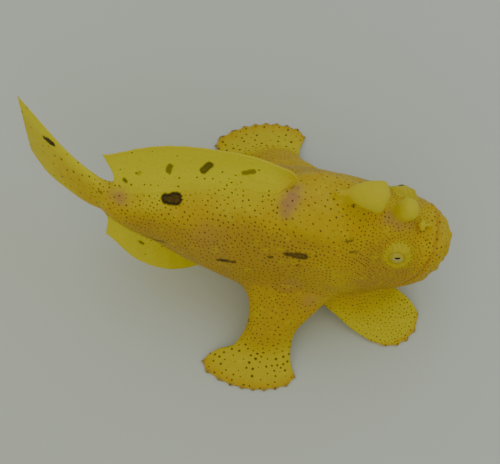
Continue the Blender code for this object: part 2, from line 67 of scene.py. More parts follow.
# Sections of the body, nose to tail: station x, sideways bend y, back height, belly height, half width, roll.
SECTIONS = (
    (54.0, -3.2, 39.0, 34.8, 2.6, 2.0),
    (53.1, -3.1, 42.0, 30.0, 6.7, 2.0),
    (51.0, -2.9, 44.8, 24.6, 9.9, 2.5),
    (47.0, -2.4, 47.0, 18.2, 12.8, 3.0),
    (41.5, -1.7, 48.8, 12.8, 14.9, 3.0),
    (35.0, -0.9, 50.8, 9.0, 16.4, 3.0),
    (26.5, -0.6, 54.0, 5.9, 17.6, 2.5),
    (16.5, -0.9, 57.2, 3.8, 18.8, 2.0),
    (6.0, -1.1, 58.8, 3.1, 19.2, 2.5),
    (-5.0, -1.1, 58.6, 4.0, 18.8, 4.0),
    (-16.0, -0.8, 56.4, 7.8, 18.0, 7.0),
    (-26.5, -1.4, 53.2, 13.6, 15.4, 10.0),
    (-36.0, -1.8, 49.8, 19.4, 11.6, 13.0),
    (-44.0, -1.9, 47.0, 24.2, 8.4, 15.0),
    (-51.0, -1.2, 44.6, 27.4, 6.2, 17.0),
    (-57.0, 0.2, 43.4, 28.4, 4.7, 18.5),
    (-63.0, 2.8, 42.6, 29.2, 2.9, 20.0),
)
WAIST = 0.46
BACK_POWER, BELLY_POWER = 1.1, 0.86

EYE_CENTRE, EYE_RADIUS = np.array([37.7, 9.6, 42.0]), 4.0
EYE_AXIS = np.array([0.02, 1.0, 0.45])
# Where each eye looks, by its side, as if it were the left one.
EYE_GAZE = {-1: np.array([0.1, 1.0, 0.75]), 1: np.array([-0.2, 1.0, 1.1])}

MOUTH_TOP, JAW_HINGE = np.array([50.4, -1.0, 45.4]), np.array([37.0, -1.0, 24.0])
NOSTRIL = np.array([46.6, 5.6, 45.0])
CHIN_WART = np.array([54.2, -0.4, 38.3])
GILL_PORE = np.array([6.6, 17.9, 41.5])

DORSAL = {
    "rays": 13, "base": (-1.5, -53.0), "tip": (2.2, -62.5), "power": 1.15, "lean": math.radians(12), "lobe": 2.2,
    "heights": (8.0, 11.4, 14.4, 16.6, 16.8, 15.4, 12.6), "belly": False,
    "thickness": (3.8, 2.9, 1.9, 1.3, 0.95, 0.7),
}
ANAL = {
    "rays": 8, "base": (-24.0, -57.5), "tip": (-24.0, -56.6), "power": 1.0, "lean": math.radians(-22), "lobe": 0.0,
    "heights": (6.0, 10.6, 13.4, 13.2, 8.0), "belly": True, "thickness": (3.2, 2.4, 1.6, 1.1, 0.85, 0.65),
}
ROOT_SINK = 3.0
CAUDAL_RAYS = 9
CAUDAL_TOP = ((-57, 1.6, 41.6), (-65, 5.8, 43.6), (-73.5, 11.4, 45.8), (-82, 18.6, 48.2), (-92.0, 27.6, 50.6))
CAUDAL_BOTTOM = ((-57, -1.4, 30), (-65.4, 1.2, 27.6), (-74, 6.0, 26), (-82.5, 12, 25.2), (-91, 21.6, 25.4))
CAUDAL_THICKNESS = (8.4, 5.0, 3.2, 2.2, 1.5, 1.0, 0.7)
# The body turns into the tail fin between these two stations.
TAIL_FROM, TAIL_TO = -53.5, -62.5

PECTORAL = {
    "around": PECTORAL_AROUND, "rays": 10, "wrist": 0.52, "bulge": 4.0, "notch": 0.034, "flare": 2.6,
    "thickness": (15.0, 12.0, 8.0, 2.6, 0.9),
    "axis": ((6, 8, 22), (2.5, 20, 18), (-1.2, 31, 10.2), (-4, 39.5, 2.6), (-6.5, 49, 0.35)),
    "front": ((23, 8, 18), (16, 21, 15), (7.6, 30, 9.0), (6.8, 38.5, 2.4), (10.2, 46, 0.35)),
    "rear": ((-9, 8, 21), (-9, 21, 18.5), (-9.4, 31, 10.4), (-15.5, 38.4, 2.9), (-25.4, 44.2, 0.35)),
    "pose": {"right": (0.0, 0.0), "left": (9.0, -0.6)},
}
PELVIC = {
    "around": PELVIC_AROUND, "rays": 6, "wrist": 0.42, "bulge": 2.0, "notch": 0.05, "flare": 0.0,
    "thickness": (9.0, 7.4, 4.8, 2.2, 0.9),
    "axis": ((18, 6, 9.5), (24.5, 11.5, 8.6), (31.5, 17.5, 5.6), (38, 23.5, 2.1), (44, 27.6, 0.35)),
    "front": ((25, 3, 9.5), (32, 6.5, 8.6), (39.5, 9.4, 5.4), (46, 13, 2.0), (49.9, 18.4, 0.35)),
    "rear": ((10, 9, 9), (14.2, 17.6, 8.2), (20.6, 21.8, 5.6), (27.0, 25.2, 2.2), (34.6, 28.8, 0.35)),
    "pose": {"right": (0.0, 0.0), "left": (-9.0, 0.0)},
}

ROD_LINE = ((46.9, -1.3, 44.4), (47.4, -1.7, 47.7), (46.8, -2.1, 49.2), (45.2, -2.3, 49.4))
CLUB_LINE = ((36.6, 0.6, 46.5), (37.6, 0.6, 50.5), (40.0, 0.7, 54.4), (42.5, 0.7, 56.6))
BULB_LINE = ((16.0, 1.2, 60.0), (20.5, 1.2, 61.4), (25.6, 0.9, 62.4), (30.6, 0.5, 62.6), (33.4, 0.3, 62.3))
SHAFT_LINE = ((30.5, 0.8, 48), (29.0, 1.0, 55), (27.5, 1.2, 61))

# From how far away each piece's fillets with the skin begin, and the one between the fins of a side.
PECTORAL_FILLET, PELVIC_FILLET, LIMB_FILLET = 8.0, 6.0, 4.0
DORSAL_FILLET, ANAL_FILLET, NAPE_FILLET, CLUB_FILLET, LURE_FILLET = 7.0, 4.0, 3.5, 3.0, 1.5
# How far apart the dots of each kind of piece lie, and how large they are.
BODY_DOTS, SPINE_DOTS = (1.22, 0.275), (2.4, 0.2)
PELVIC_DOTS, ARM_DOTS, FAN_DOTS = (1.3, 0.22), (1.35, 0.25), (1.9, 0.34)
# A gap between dots that stands for none at all, and how far round a dot its field is worked out.
NO_DOTS, DOT_FIELD = 50.0, 1.3


# Arithmetic on arrays of points.


def mix(a, b, t):
    return a + (b - a) * t


def smooth(t):
    t = np.clip(t, 0.0, 1.0)
    return t * t * (3 - 2 * t)


def hump(x, width):
    """A rounded bump of height 1 at x = 0."""
    return np.exp(-((x / width) ** 2))


def unit(v):
    return v / np.maximum(np.linalg.norm(v, axis=-1, keepdims=True), 1e-9)


def dot(a, b):
    return (a * b).sum(axis=-1)


def distance(a, b=0.0):
    return np.linalg.norm(a - b, axis=-1)


def degrees_between(a, b):
    """The angle between unit vectors."""
    return np.degrees(np.arccos(np.clip(dot(a, b), -1, 1)))


def quarter_round(x):
    """Falls from 1 at x = 0 to 0 at x = 1 as a quarter of a circle does."""
    return np.sqrt(1 - np.clip(x, 0, 1) ** 2)


def through(values, t):
    """Values at t, from 0 to 1, on a smooth curve through evenly spaced numbers or rows of numbers."""
    values = np.asarray(values, float)
    last = len(values) - 1
    place = np.clip(t, 0.0, 1.0) * last
    i = np.minimum(place.astype(int), last - 1)
    f = place - i
    if values.ndim > 1:
        f = f[..., None]
    p0, p1, p2, p3 = (values[np.clip(i + k, 0, last)] for k in (-1, 0, 1, 2))
    return p1 + (p2 - p0) * (0.5 * f) + (2 * p0 - 5 * p1 + 4 * p2 - p3) * (0.5 * f * f) + (
        3 * p1 - p0 - 3 * p2 + p3
    ) * (0.5 * f**3)


def mirrored(points, side):
    return np.asarray(points, float) * np.array([1, side, 1])


def wander(points, size, seed=0.0):
    """Smooth noise, about -1 to 1, whose lumps are size millimetres across."""
    return np.array([noise.noise(Vector(p) / size + Vector((seed, seed * 2, seed * 3))) for p in points]) * 1.6


# The body's surface.


def body_frame(s):
    """Centre, leftward, upward and forward directions, half width, rise and fall of the sections at s."""
    rows = through(SECTIONS, s)
    x, y, back, belly, half_width = (rows[..., k] for k in range(5))
    turn = np.radians(rows[..., 5])[..., None]
    nose_to_tail = through(np.array(SECTIONS)[:, :2], s + 0.01) - through(np.array(SECTIONS)[:, :2], s - 0.01)
    along = unit(np.stack([-nose_to_tail[..., 0], -nose_to_tail[..., 1], 0 * x], -1))
    across = np.cross(UP, along)
    left = across * np.cos(turn) - UP * np.sin(turn)
    up = UP * np.cos(turn) + across * np.sin(turn)
    waist = mix(belly, back, WAIST)
    return np.stack([x, y, waist], -1), left, up, along, half_width, back - waist, waist - belly


def body_point(s, angle, grow=0.0):
    """Points of the body: angle 0 is the back, a quarter turn the left flank, a half turn the belly."""
    centre, left, up, _, half_width, rise, fall = body_frame(s)
    c, n = np.cos(angle), np.sin(angle)
    wide = np.copysign(np.abs(n) ** np.where(c > 0, BACK_POWER, BELLY_POWER), n)
    sideways = (half_width + grow) * wide
    upward = (np.where(c > 0, rise, fall) + grow) * c
    return centre + left * sideways[..., None] + up * upward[..., None]


def station_at(x):
    """The share s along the body whose section stands at x."""
    shares = np.linspace(0, 1, 400)
    return np.interp(-np.asarray(x), -body_frame(shares)[0][:, 0], shares)


def back_height(x):
    """How high the back stands at x."""
    return through(np.array(SECTIONS)[:, 2], station_at(x))


# Fins. u runs across a fin from its front edge to its rear one, and t from its root to its tips.


def edge_reach(u, rays, notch):
    """How far the edge reaches: full on each ray's pointed tip, and less by notch in the web."""
    return 1 - notch * np.abs(np.sin(np.pi * u * (rays - 1))) ** 0.75


def rib(u, t, rays, split):
    """Height from 0 to 1 of the soft ridge that a ray raises; beyond split the ray forks in two."""
    phase = u * (rays - 1)
    away = (phase - np.round(phase)) * 2
    fork = smooth((t - split) / (1.001 - split)) * 0.42
    width = mix(0.36, 0.22, smooth(fork * 2))
    return np.maximum(hump(away - fork, width), hump(away + fork, width))


def tip_of_ray(u, t, rays):
    """1 on the very tip of each ray."""
    phase = u * (rays - 1)
    return hump((phase - np.round(phase)) * 2, 0.42) * smooth((t - 0.945) / 0.04)


def median_fin(fin, u, t):
    """Points of the dorsal or anal fin's mid-surface. It stands on the midline and leans sideways."""
    base_x = mix(*fin["base"], u)
    s = station_at(base_x)
    angle = np.full_like(s, math.pi if fin["belly"] else 0.0)
    root = body_point(s, angle, -ROOT_SINK)
    _, left, up, *_ = body_frame(s)
    rise = up * (math.cos(fin["lean"]) * (-1 if fin["belly"] else 1)) + left * math.sin(fin["lean"])
    height = through(fin["heights"], u) + ROOT_SINK
    forward = mix(*fin["tip"], np.maximum(u, 0) ** fin["power"]) - base_x
    bow = np.sin(np.pi * t) * 0.06 * height * (1 if fin["lean"] > 0 else -1)
    sweep = mix(0.75, 1.25, smooth(np.minimum(u, 1 - u) / 0.15))
    return (
        root + rise * (height * t)[..., None] + FRONT * (forward * np.maximum(t, 0) ** sweep)[..., None]
        + left * bow[..., None]
    )


def along_tail(edge, t):
    """Points of the tail fin's upper or lower edge, carried on forwards into the body where t is below 0."""
    lead_in = (np.array(edge[1], float) - np.array(edge[0], float)) * (len(edge) - 1)
    return through(edge, t) + np.minimum(t, 0)[..., None] * lead_in


def tail_middle(u, t):
    """Points of the tail fin's mid-surface, u running from its upper to its lower edge."""
    reach = t * (1 - 0.08 * u**2 * smooth(t)) * edge_reach(u, CAUDAL_RAYS, 0.008 * smooth(t * 2 - 1))
    bow = np.array([0.5, -0.8, 0]) * (np.sin(np.pi * u) * 1.6 * np.maximum(t, 0))[..., None]
    return mix(along_tail(CAUDAL_TOP, reach), along_tail(CAUDAL_BOTTOM, reach), u[..., None]) + bow


def tail_share(x):
    """The share t along the tail fin at station x."""
    shares = np.linspace(-0.15, 1, 300)
    middle = mix(along_tail(CAUDAL_TOP, shares), along_tail(CAUDAL_BOTTOM, shares), 0.5)
    return np.interp(-np.asarray(x), -middle[:, 0], shares)


def facing(middle, u, t, step=0.004):
    """The direction that a mid-surface faces."""
    slope_u = middle(np.clip(u + step, 0, 1), t) - middle(np.clip(u - step, 0, 1), t)
    slope_t = middle(u, np.minimum(t + step, 1)) - middle(u, t - step)
    return unit(np.cross(slope_u, slope_t))


def tail_point(angle, t):
    """Points of the tail fin's surface; angle runs round it as it does round the body."""
    u = (1 - np.cos(angle)) / 2
    side = np.where(np.sin(angle) >= 0, 1.0, -1.0)
    normal = facing(tail_middle, u, t)
    normal = normal * np.sign(dot(normal, LEFT))[..., None]
    edge = np.sqrt(1 - np.abs(2 * u - 1) ** mix(2.0, 8.0, smooth(t / 0.7)))
    end = quarter_round((t - 0.98) / 0.02)
    ridge = 0.1 * rib(u, t, CAUDAL_RAYS, 0.5) * smooth((t - 0.1) / 0.3) * np.maximum(1 - t, 0) ** 0.4
    half = (through(CAUDAL_THICKNESS, t) + ridge) / 2 * edge * end
    return tail_middle(u, t) + normal * (side * half)[..., None]


def limb_middle(limb, u, t, side_name):
    """Points of a paired fin's mid-surface, from the shoulder inside the body to the spread tips."""
    front, axis, rear = (through(limb[key], t) for key in ("front", "axis", "rear"))
    u, t = u[..., None], t[..., None]
    across = front * (1 - u) ** 2 + (axis * 2 - (front + rear) / 2) * (2 * u * (1 - u)) + rear * u**2
    outward = unit(axis - through(limb["axis"], t[..., 0] - 0.1)) * np.array([1, 1, 0])
    point = across + outward * (limb["bulge"] * 0.35 * np.sin(np.pi * u) * smooth((t - 0.55) / 0.45))
    swing, draw_in = limb["pose"][side_name]
    turn = np.array(Matrix.Rotation(math.radians(swing), 3, "Z"))
    pivot = np.array(limb["axis"][0], float)
    return mirrored((point - pivot) @ turn.T + pivot - LEFT * draw_in, SIDES[side_name])


# Meshes: a flat grid is refined, laid on its shape, closed, and blended into what it grows from.


def flat_grid(across, along, refine=()):
    """A grid over the unit square. Each test in refine picks faces, by their centres, to cut in four."""
    bm = bmesh.new()
    bmesh.ops.create_grid(bm, x_segments=across, y_segments=along, size=0.5)
    bmesh.ops.translate(bm, vec=(0.5, 0.5, 0), verts=bm.verts)
    for wanted in refine:
        faces = list(bm.faces)
        centres = np.array([f.calc_center_median() for f in faces])
        picked = [f for f, hit in zip(faces, wanted(centres[:, 0], centres[:, 1])) if hit]
        edges = list({e for f in picked for e in f.edges})
        bmesh.ops.subdivide_edges(bm, edges=edges, cuts=1, use_grid_fill=True)
    return bm


def sides_of(across):
    """Splits a way round a thin piece into the way over it, from one edge to the other and back, and the side."""
    return 1 - np.abs(1 - 2 * across), np.where(across < 0.5, 1.0, -1.0)


def gathered(w, share):
    """Draws points that are even over 0 to 1 together at both ends."""
    return w - share * np.sin(2 * np.pi * w) / (2 * np.pi)


def closed(bm, place, seam=1e-3):
    """Lays a flat grid on place(across, along), joins its edges, closes its ends and turns its faces outwards.

    place gives the points, and a dict of values that the materials read at each of them."""
    flat = np.array([v.co for v in bm.verts])
    points, values = place(flat[:, 0], flat[:, 1])
    for v, p in zip(bm.verts, points):
        v.co = p
    for key, numbers in values.items():
        layer = bm.verts.layers.float.new(key)
        for v, number in zip(bm.verts, numbers):
            v[layer] = number
    bmesh.ops.remove_doubles(bm, verts=bm.verts, dist=seam)
    bmesh.ops.holes_fill(bm, edges=[e for e in bm.edges if e.is_boundary])
    bmesh.ops.recalc_face_normals(bm, faces=bm.faces)
    if bm.calc_volume(signed=True) < 0:
        bmesh.ops.reverse_faces(bm, faces=bm.faces)
    return bm


def formed(bm, name, place):
    """Makes a closed object of a flat grid, still in millimetres."""
    closed(bm, place, 2e-3)
    bmesh.ops.triangulate(bm, faces=[f for f in bm.faces if len(f.verts) > 4])
    return linked(bm, name)


def linked(bm, name):
    mesh = bpy.data.meshes.new(name)
    bm.to_mesh(mesh)
    bm.free()
    mesh.shade_smooth()
    obj = bpy.data.objects.new(name, mesh)
    bpy.context.scene.collection.objects.link(obj)
    return obj


def numbers_of(data, field, width=1, kind=np.int32):
    """One field of every element of a mesh's data as an array, with rows where width is over 1."""
    numbers = np.empty(len(data) * width, kind)
    data.foreach_get(field, numbers)
    return numbers.reshape(-1, width) if width > 1 else numbers


def points_of(obj):
    return numbers_of(obj.data.vertices, "co", 3, np.float32).astype(float)


def normals_of(obj):
    return numbers_of(obj.data.vertex_normals, "vector", 3, np.float32).astype(float)


def loops_of(obj):
    """The point at each corner of a mesh's faces, and where each face's corners start."""
    return numbers_of(obj.data.loops, "vertex_index"), numbers_of(obj.data.polygons, "loop_start")


def set_points(obj, points):
    obj.data.vertices.foreach_set("co", np.asarray(points, np.float32).ravel())
    obj.data.update()


def value_of(obj, key):
    attribute = obj.data.attributes.get(key)
    if attribute is None:
        return np.zeros(len(obj.data.vertices))
    return numbers_of(attribute.data, "value", 1, np.float32).astype(float)


def set_value(obj, key, numbers):
    attribute = obj.data.attributes.get(key) or obj.data.attributes.new(key, "FLOAT", "POINT")
    attribute.data.foreach_set("value", np.asarray(numbers, np.float32))


def evened(obj, numbers, rounds):
    """Numbers at a mesh's points, evened out with those at the neighbouring points."""
    a, b = numbers_of(obj.data.edges, "vertices", 2).T
    count = len(numbers)
    neighbours = np.maximum(np.bincount(a, minlength=count) + np.bincount(b, minlength=count), 1)
    for _ in range(rounds):
        total = np.bincount(a, numbers[b], count) + np.bincount(b, numbers[a], count)
        numbers = mix(numbers, total / neighbours, 0.5)
    return numbers


def face_normals(obj):
    """Each face's normal, taken smoothly from the normals at its corners."""
    corners, starts = loops_of(obj)
    return unit(np.add.reduceat(normals_of(obj)[corners], starts, axis=0))


def fillet_height(gap, facing_away, reach):
    """How far a point rises so that its surface curves into another one, which is gap away.

    facing_away is the dot product of the two surfaces' normals, and reach how far from the corner it begins."""
    opening = np.clip(-facing_away, -0.98, 0.98)
    slant = np.sqrt(1 - opening**2)
    from_corner = np.clip(gap / np.maximum(slant, 0.5), 0, reach) / reach
    share = (1 - np.sqrt(np.maximum(1 - (1 + opening) * (1 - from_corner), 0))) / (1 + opening)
    past_middle = np.maximum((1 + opening) / 4 - from_corner, 0) / (1 - opening)
    return (np.minimum(share, 0.5) ** 2 + past_middle) * reach * slant


def blend_together(pairs):
    """Raises both pieces of each pair where they meet, so that one flows into the other in a smooth hollow.

    A piece's roots, sunk in the other, are left out of account, and nothing rises at places with a stiff of 1."""
    pieces = list(dict.fromkeys(obj for pair in pairs for obj in pair[:2]))
    points = {obj: points_of(obj) for obj in pieces}
    normals = {obj: normals_of(obj) for obj in pieces}
    faces = {obj: face_normals(obj) for obj in pieces}
    corners = {obj: [p.vertices[:] for p in obj.data.polygons] for obj in pieces}
    whole = {obj: np.arange(len(corners[obj])) for obj in pieces}
    moves = {obj: np.zeros(len(points[obj])) for obj in pieces}
    stiff = {obj: value_of(obj, "stiff") for obj in pieces}

    def reached(obj, other, reach, kept):
        """Each point's gap to the kept faces of the other piece, the normals' product there, how stiff that is and
        whether the point lies behind it."""
        tree = BVHTree.FromPolygons(points[other].tolist(), [corners[other][k] for k in kept])
        low, high = points[other].min(axis=0) - reach, points[other].max(axis=0) + reach
        near = np.nonzero(((points[obj] > low) & (points[obj] < high)).all(axis=1))[0]
        count = len(points[obj])
        gap, facing_away, behind, held = np.full(count, reach), np.ones(count), np.zeros(count, bool), np.zeros(count)
        for i in near:
            hit, _, face, away = tree.find_nearest(points[obj][i], reach)
            if hit is not None:
                outward = faces[other][kept[face]]
                behind[i] = (points[obj][i] - np.array(hit)) @ outward < 0
                gap[i] = away
                facing_away[i] = normals[obj][i] @ outward
                held[i] = stiff[other][corners[other][kept[face]][0]]
        return gap, facing_away, held, behind

    def unsunk(obj, inside):
        """The faces of a piece that are not wholly inside the other one."""
        loops, starts = loops_of(obj)
        return np.nonzero(~np.logical_and.reduceat(inside[loops], starts))[0]

    for first, second, reach in pairs:
        ways = ((first, second), (second, first))
        inside = {obj: reached(obj, other, reach, whole[other])[3] for obj, other in ways}
        for obj, other in ways:
            gap, facing_away, held, _ = reached(obj, other, reach, unsunk(other, inside[other]))
            gap[inside[obj] & (gap < reach)] = 0.0
            moves[obj] = np.maximum(moves[obj], fillet_height(gap, facing_away, reach) * (1 - held))
    for obj, move in moves.items():
        set_points(obj, points[obj] + normals[obj] * (evened(obj, move, 3) * (1 - stiff[obj]))[:, None])


def scattered(points, gap, size, seed):
    """Strews dots over points, each as far from the others as gap gives there, and none where gap is NO_DOTS.

    The result is 1 amid a dot, 0.5 at its edge and less beyond it."""
    rng = np.random.default_rng(seed)
    tree = KDTree(len(points))
    for i, p in enumerate(points):
        tree.insert(p, i)
    tree.balance()
    field, taken = np.full(len(points), -2.0), gap >= NO_DOTS
    scale = rng.uniform(0.65, 1.45, len(points))
    for i in rng.permutation(len(points)):
        if taken[i]:
            continue
        across = min(2 * size[i] * scale[i], 0.5 * gap[i])
        for _, j, away in tree.find_range(points[i], max(gap[i], DOT_FIELD)):
            taken[j] = taken[j] or away < gap[i]
            field[j] = max(field[j], 1 - away / across)
    return field


def widest_faces(obj):
    """The greatest width, along a side or a diagonal, of the triangles and quads at each of a mesh's points."""
    corners, starts = loops_of(obj)
    sides = numbers_of(obj.data.polygons, "loop_total")
    start, count = np.repeat(starts, sides), np.repeat(sides, sides)
    points, widest = points_of(obj), np.zeros(len(obj.data.vertices))
    for step in (1, 2, 3):
        others = corners[start + (np.arange(len(corners)) - start + step) % count]
        np.maximum.at(widest, corners, distance(points[corners], points[others]))
    return widest


def build_median_fin(name, fin, wave):
    """A closed fin with a rounded, even rim."""
    rays = fin["rays"]

    def middle(u, t):
        corner = 1 - 0.24 * (1 - smooth(u / 0.08)) ** 2 * smooth(t)
        reach = t * edge_reach(u, rays, 0.012 * smooth(t * 2 - 1)) * corner
        _, left, *_ = body_frame(station_at(mix(*fin["base"], u)))
        lobe = fin["lobe"] * (1 - smooth(u / 0.14)) * smooth(t / 0.6)
        sway = wave * np.sin(u * 9.0 + 0.6) * smooth(t)
        return median_fin(fin, u, reach) + FRONT * lobe[..., None] + left * sway[..., None]

    def place(across, t):
        w, side = sides_of(across)
        u = gathered(w, 0.75)
        rim = quarter_round(1 - np.minimum(u, 1 - u) / 0.02) * quarter_round((t - 0.98) / 0.02)
        ridge = 0.22 * rib(u, t, rays, 0.7) * smooth((t - 0.35) / 0.3) * (1 - smooth((t - 0.85) / 0.15))
        half = (through(fin["thickness"], t) + ridge) / 2 * rim
        points = middle(u, t) + facing(middle, u, t) * (side * half)[..., None]
        edge = np.maximum(smooth((t - 0.9) / 0.1), smooth((0.035 - u) / 0.03) * smooth((t - 0.4) / 0.2))
        stiff = 1 - smooth(u / 0.05)
        return points, {"rim": edge, "upper_fin": smooth((t - 0.3) / 0.45), "stiff": stiff}

    return formed(flat_grid((rays - 1) * FIN_PER_RAY * 2, FIN_ALONG), name, place)


def build_limb(name, limb, side_name):
    """A paired fin from its fleshy arm to its spread foot, flat where it stands on the floor."""
    rays, wrist = limb["rays"], limb["wrist"]

    def middle(u, t):
        foot = smooth((t - wrist) / (1 - wrist))
        corner = np.abs(2 * u - 1)
        end = 1 - ((1 - wrist) * 0.1 * corner**6 + 0.03 * smooth((corner - 0.82) / 0.18)) * foot
        point = limb_middle(limb, u, t * edge_reach(u, rays, limb["notch"] * smooth((t - 0.8) / 0.2)) * end, side_name)
        flare = smooth((u - 0.7) / 0.3) * smooth((t - 0.66) / 0.18) * (1 - 0.55 * smooth((t - 0.88) / 0.12))
        return point + mirrored((-0.7, -0.7, 0), SIDES[side_name]) * (limb["flare"] * flare)[..., None]

    def place(across, t):
        turn = 2 * np.pi * across
        w, side = sides_of(across)
        spread = smooth((t - wrist) / (0.85 - wrist))
        u = mix((1 - np.cos(turn)) / 2, gathered(w, 0.6), spread)
        normal = facing(middle, u, t) * SIDES[side_name]
        oval = np.sqrt(np.clip(4 * u * (1 - u), 0, 1))
        slab = quarter_round(1 - np.minimum(u, 1 - u) / 0.05)
        round_tip = quarter_round((t - 0.985) / 0.015)
        flesh = np.maximum(through(limb["thickness"], t) * mix(oval, slab, spread * 0.7), 0.6 * slab)
        folds = hump(t - wrist + 0.03, 0.05) * 0.1 * np.sin(t * 210 + 3 * np.sin(u * 6))
        raised = (0.22 + 0.3 * smooth((t - 0.92) / 0.08)) * rib(u, t, rays, 0.8) * spread * slab
        half = (flesh * mix(1, 0.85, spread) + raised + folds * oval) / 2 * round_tip
        points = middle(u, t) + normal * (side * half)[..., None]
        points[:, 2] = np.maximum(points[:, 2], 0.0)
        return points, {"tips": tip_of_ray(u, t, rays), "amber_edge": smooth((t - 0.86) / 0.12)}

    return formed(flat_grid(limb["around"], LIMB_ALONG), name, place)


# The head's details are raised on the body's surface.

LID_DOME, LID_REACH, LID_OPENING = 4.7, 8.5, 43.0


def eye_parts(points, side):
    """Direction and distance of points from an eye's centre, and how many degrees off its opening's axis."""
    from_eye = points - mirrored(EYE_CENTRE, side)
    outward = unit(from_eye)
    return outward, distance(from_eye), degrees_between(outward, unit(mirrored(EYE_AXIS, side)))


def with_eyelids(points):
    """Stretches the skin over each eye as a dome, and tucks it behind the eyeball within the lids' opening."""
    for side in SIDES.values():
        outward, away, off_axis = eye_parts(points, side)
        domed = (away + LID_DOME + np.sqrt((away - LID_DOME) ** 2 + 1.6)) / 2
        domed = mix(domed, away, smooth((away - 5.6) / (LID_REACH - 5.6)))
        past_rim = off_axis - LID_OPENING
        lid = domed - 0.46 * (1 - smooth(past_rim / 16)) + 0.05 * hump(past_rim - 2.5, 2.0)
        reached = mix(EYE_RADIUS - 0.9, lid, smooth((past_rim + 4) / 4.5))
        covered = mirrored(EYE_CENTRE, side) + outward * reached[..., None]
        points = np.where((away < LID_REACH)[..., None], covered, points)
    return points


def spokes(points):
    """Streaks, 0 to 1, that run out from each pupil over the iris and the lids."""
    streaks = np.zeros(len(points))
    for side in SIDES.values():
        gaze = unit(mirrored(EYE_GAZE[side], side))
        outward, away, _ = eye_parts(points, side)
        off_gaze = degrees_between(outward, gaze)
        ahead = unit(np.cross(UP, gaze))
        bearing = np.arctan2(dot(outward, np.cross(gaze, ahead)), dot(outward, ahead))
        wave = 0.5 + 0.5 * np.sin(bearing * 19 + 2.0 * np.sin(bearing * 4 + 1) + 1.2 * np.sin(bearing * 9))
        fade = smooth((off_gaze - 14) / 14) * (1 - smooth((off_gaze - 70) / 30)) * smooth((6.3 - away) / 0.8)
        streaks = np.maximum(streaks, wave**1.5 * fade)
    return streaks


def mouth_parts(points):
    """How far points lie in front of the closed mouth's line, and how high up it, 0 at the hinge to 1 on top."""
    up_mouth = unit(MOUTH_TOP - JAW_HINGE)
    out = np.array([up_mouth[2], 0, -up_mouth[0]])
    from_hinge = points - JAW_HINGE
    rise = dot(from_hinge, up_mouth) / distance(MOUTH_TOP, JAW_HINGE)
    curve = 0.9 * np.sin(np.pi * np.clip(rise, 0, 1)) - 0.5 * smooth((0.25 - rise) / 0.4)
    return dot(from_hinge, out) - curve, rise


def head_relief(points):
    """How far the lips, jaw folds and cheek stand out from, or sink into, the smooth body."""
    front, rise = mouth_parts(points)
    fade = smooth((rise + 0.06) / 0.16)
    lips = 0.22 * hump(front - 1.3, 0.9) + 0.2 * hump(front + 1.3, 1.0)
    crease = -0.36 * hump(front, 0.55)
    maxilla = 0.25 * hump(front + 2.8, 1.4) * smooth((0.75 - rise) / 0.4)
    maxilla = maxilla - 0.25 * hump(front + 4.6, 0.8) * smooth((0.62 - rise) / 0.3)
    chin_fold = -0.22 * hump(front - 3.2, 0.9)
    throat = points[:, 2] + 0.55 * (points[:, 0] - 37) - 21.5
    hinge_fold = -0.6 * hump(throat, 0.8) * smooth((points[:, 0] - 30) / 6) * smooth((0.1 - rise) / 0.1)
    return (lips + crease + maxilla + chin_fold) * fade + hinge_fold


def jaw_lumps(points):
    """Small soft lumps along the lips and chin, with the one wart at the chin's tip."""
    jaw = smooth((points[:, 0] - 43) / 7)
    lumps = 0.6 * np.maximum(wander(points, 2.6, 11.0), 0) * jaw
    wart = 1.1 * hump(distance(points, CHIN_WART), 1.3)
    return lumps + wart


def cushion_ring(points):
    """How far out points lie from the middle of the nape's cushion of skin, 1 being about its edge."""
    return np.hypot((points[:, 0] - 13) / 15, (points[:, 1] + 1) / 12.5)


def nape_relief(points):
    """The raised cushion of skin on the nape behind the third spine."""
    ring = cushion_ring(points)
    return (1.15 * smooth((1.1 - ring) / 0.32) - 0.22 * hump(ring - 1.1, 0.06)) * smooth((points[:, 2] - 36) / 6)


def gill_relief(points):
    """A puckered rim round the small gill opening above and behind each arm."""
    raised = np.zeros(len(points))
    for side in SIDES.values():
        from_pore = points - mirrored(GILL_PORE, side)
        around = np.hypot(from_pore[:, 0] / 2.3, distance(from_pore[:, 1:]))
        pucker = 0.7 + 0.5 * np.sin(np.arctan2(from_pore[:, 2], from_pore[:, 0]) * 7)
        raised += 0.5 * hump(around - 1, 0.38) * pucker - 0.7 * hump(around, 0.55)
    return raised


def nostril_relief(points):
    """Each nostril is a short open tube of skin."""
    move = np.zeros_like(points)
    for side in SIDES.values():
        lean = unit(mirrored((0.45, 0.35, 1.0), side))
        from_nostril = points - mirrored(NOSTRIL, side)
        height = dot(from_nostril, lean)
        away = distance(from_nostril, lean * height[..., None])
        wall = 0.5 * smooth((1.2 - away) / 0.7) - 0.6 * smooth((0.4 - away) / 0.3)
        move += lean * (wall * (np.abs(height) < 3))[..., None]
    return move


def skin_path():
    """For each ring, nose to tail: its station on the body, its share of the tail and how far it is tail."""
    shares = np.linspace(0, station_at(TAIL_TO), 2000)
    centre, *_, half_width, rise, fall = body_frame(shares)
    step = np.hypot(np.diff(centre[:, 0]), np.diff(half_width + (rise + fall) / 2) * 0.6)
    packed_head = mix(1.0, 1.5, smooth((centre[1:, 0] - 18) / 14))
    length = np.concatenate([[0], np.cumsum(step * packed_head)])
    stations = np.interp(np.linspace(0, length[-1], BODY_RINGS + 1), length, shares)
    x = body_frame(stations)[0][:, 0]
    body = np.stack([stations, tail_share(x), smooth((TAIL_FROM - x) / (TAIL_FROM - TAIL_TO))], -1)
    onward = 1 - (1 - np.linspace(0, 1, TAIL_RINGS + 1)[1:]) ** 1.35
    tail = np.stack([0 * onward + stations[-1], mix(body[-1, 1], 1.0, onward), 0 * onward + 1], -1)
    return np.concatenate([body, tail])


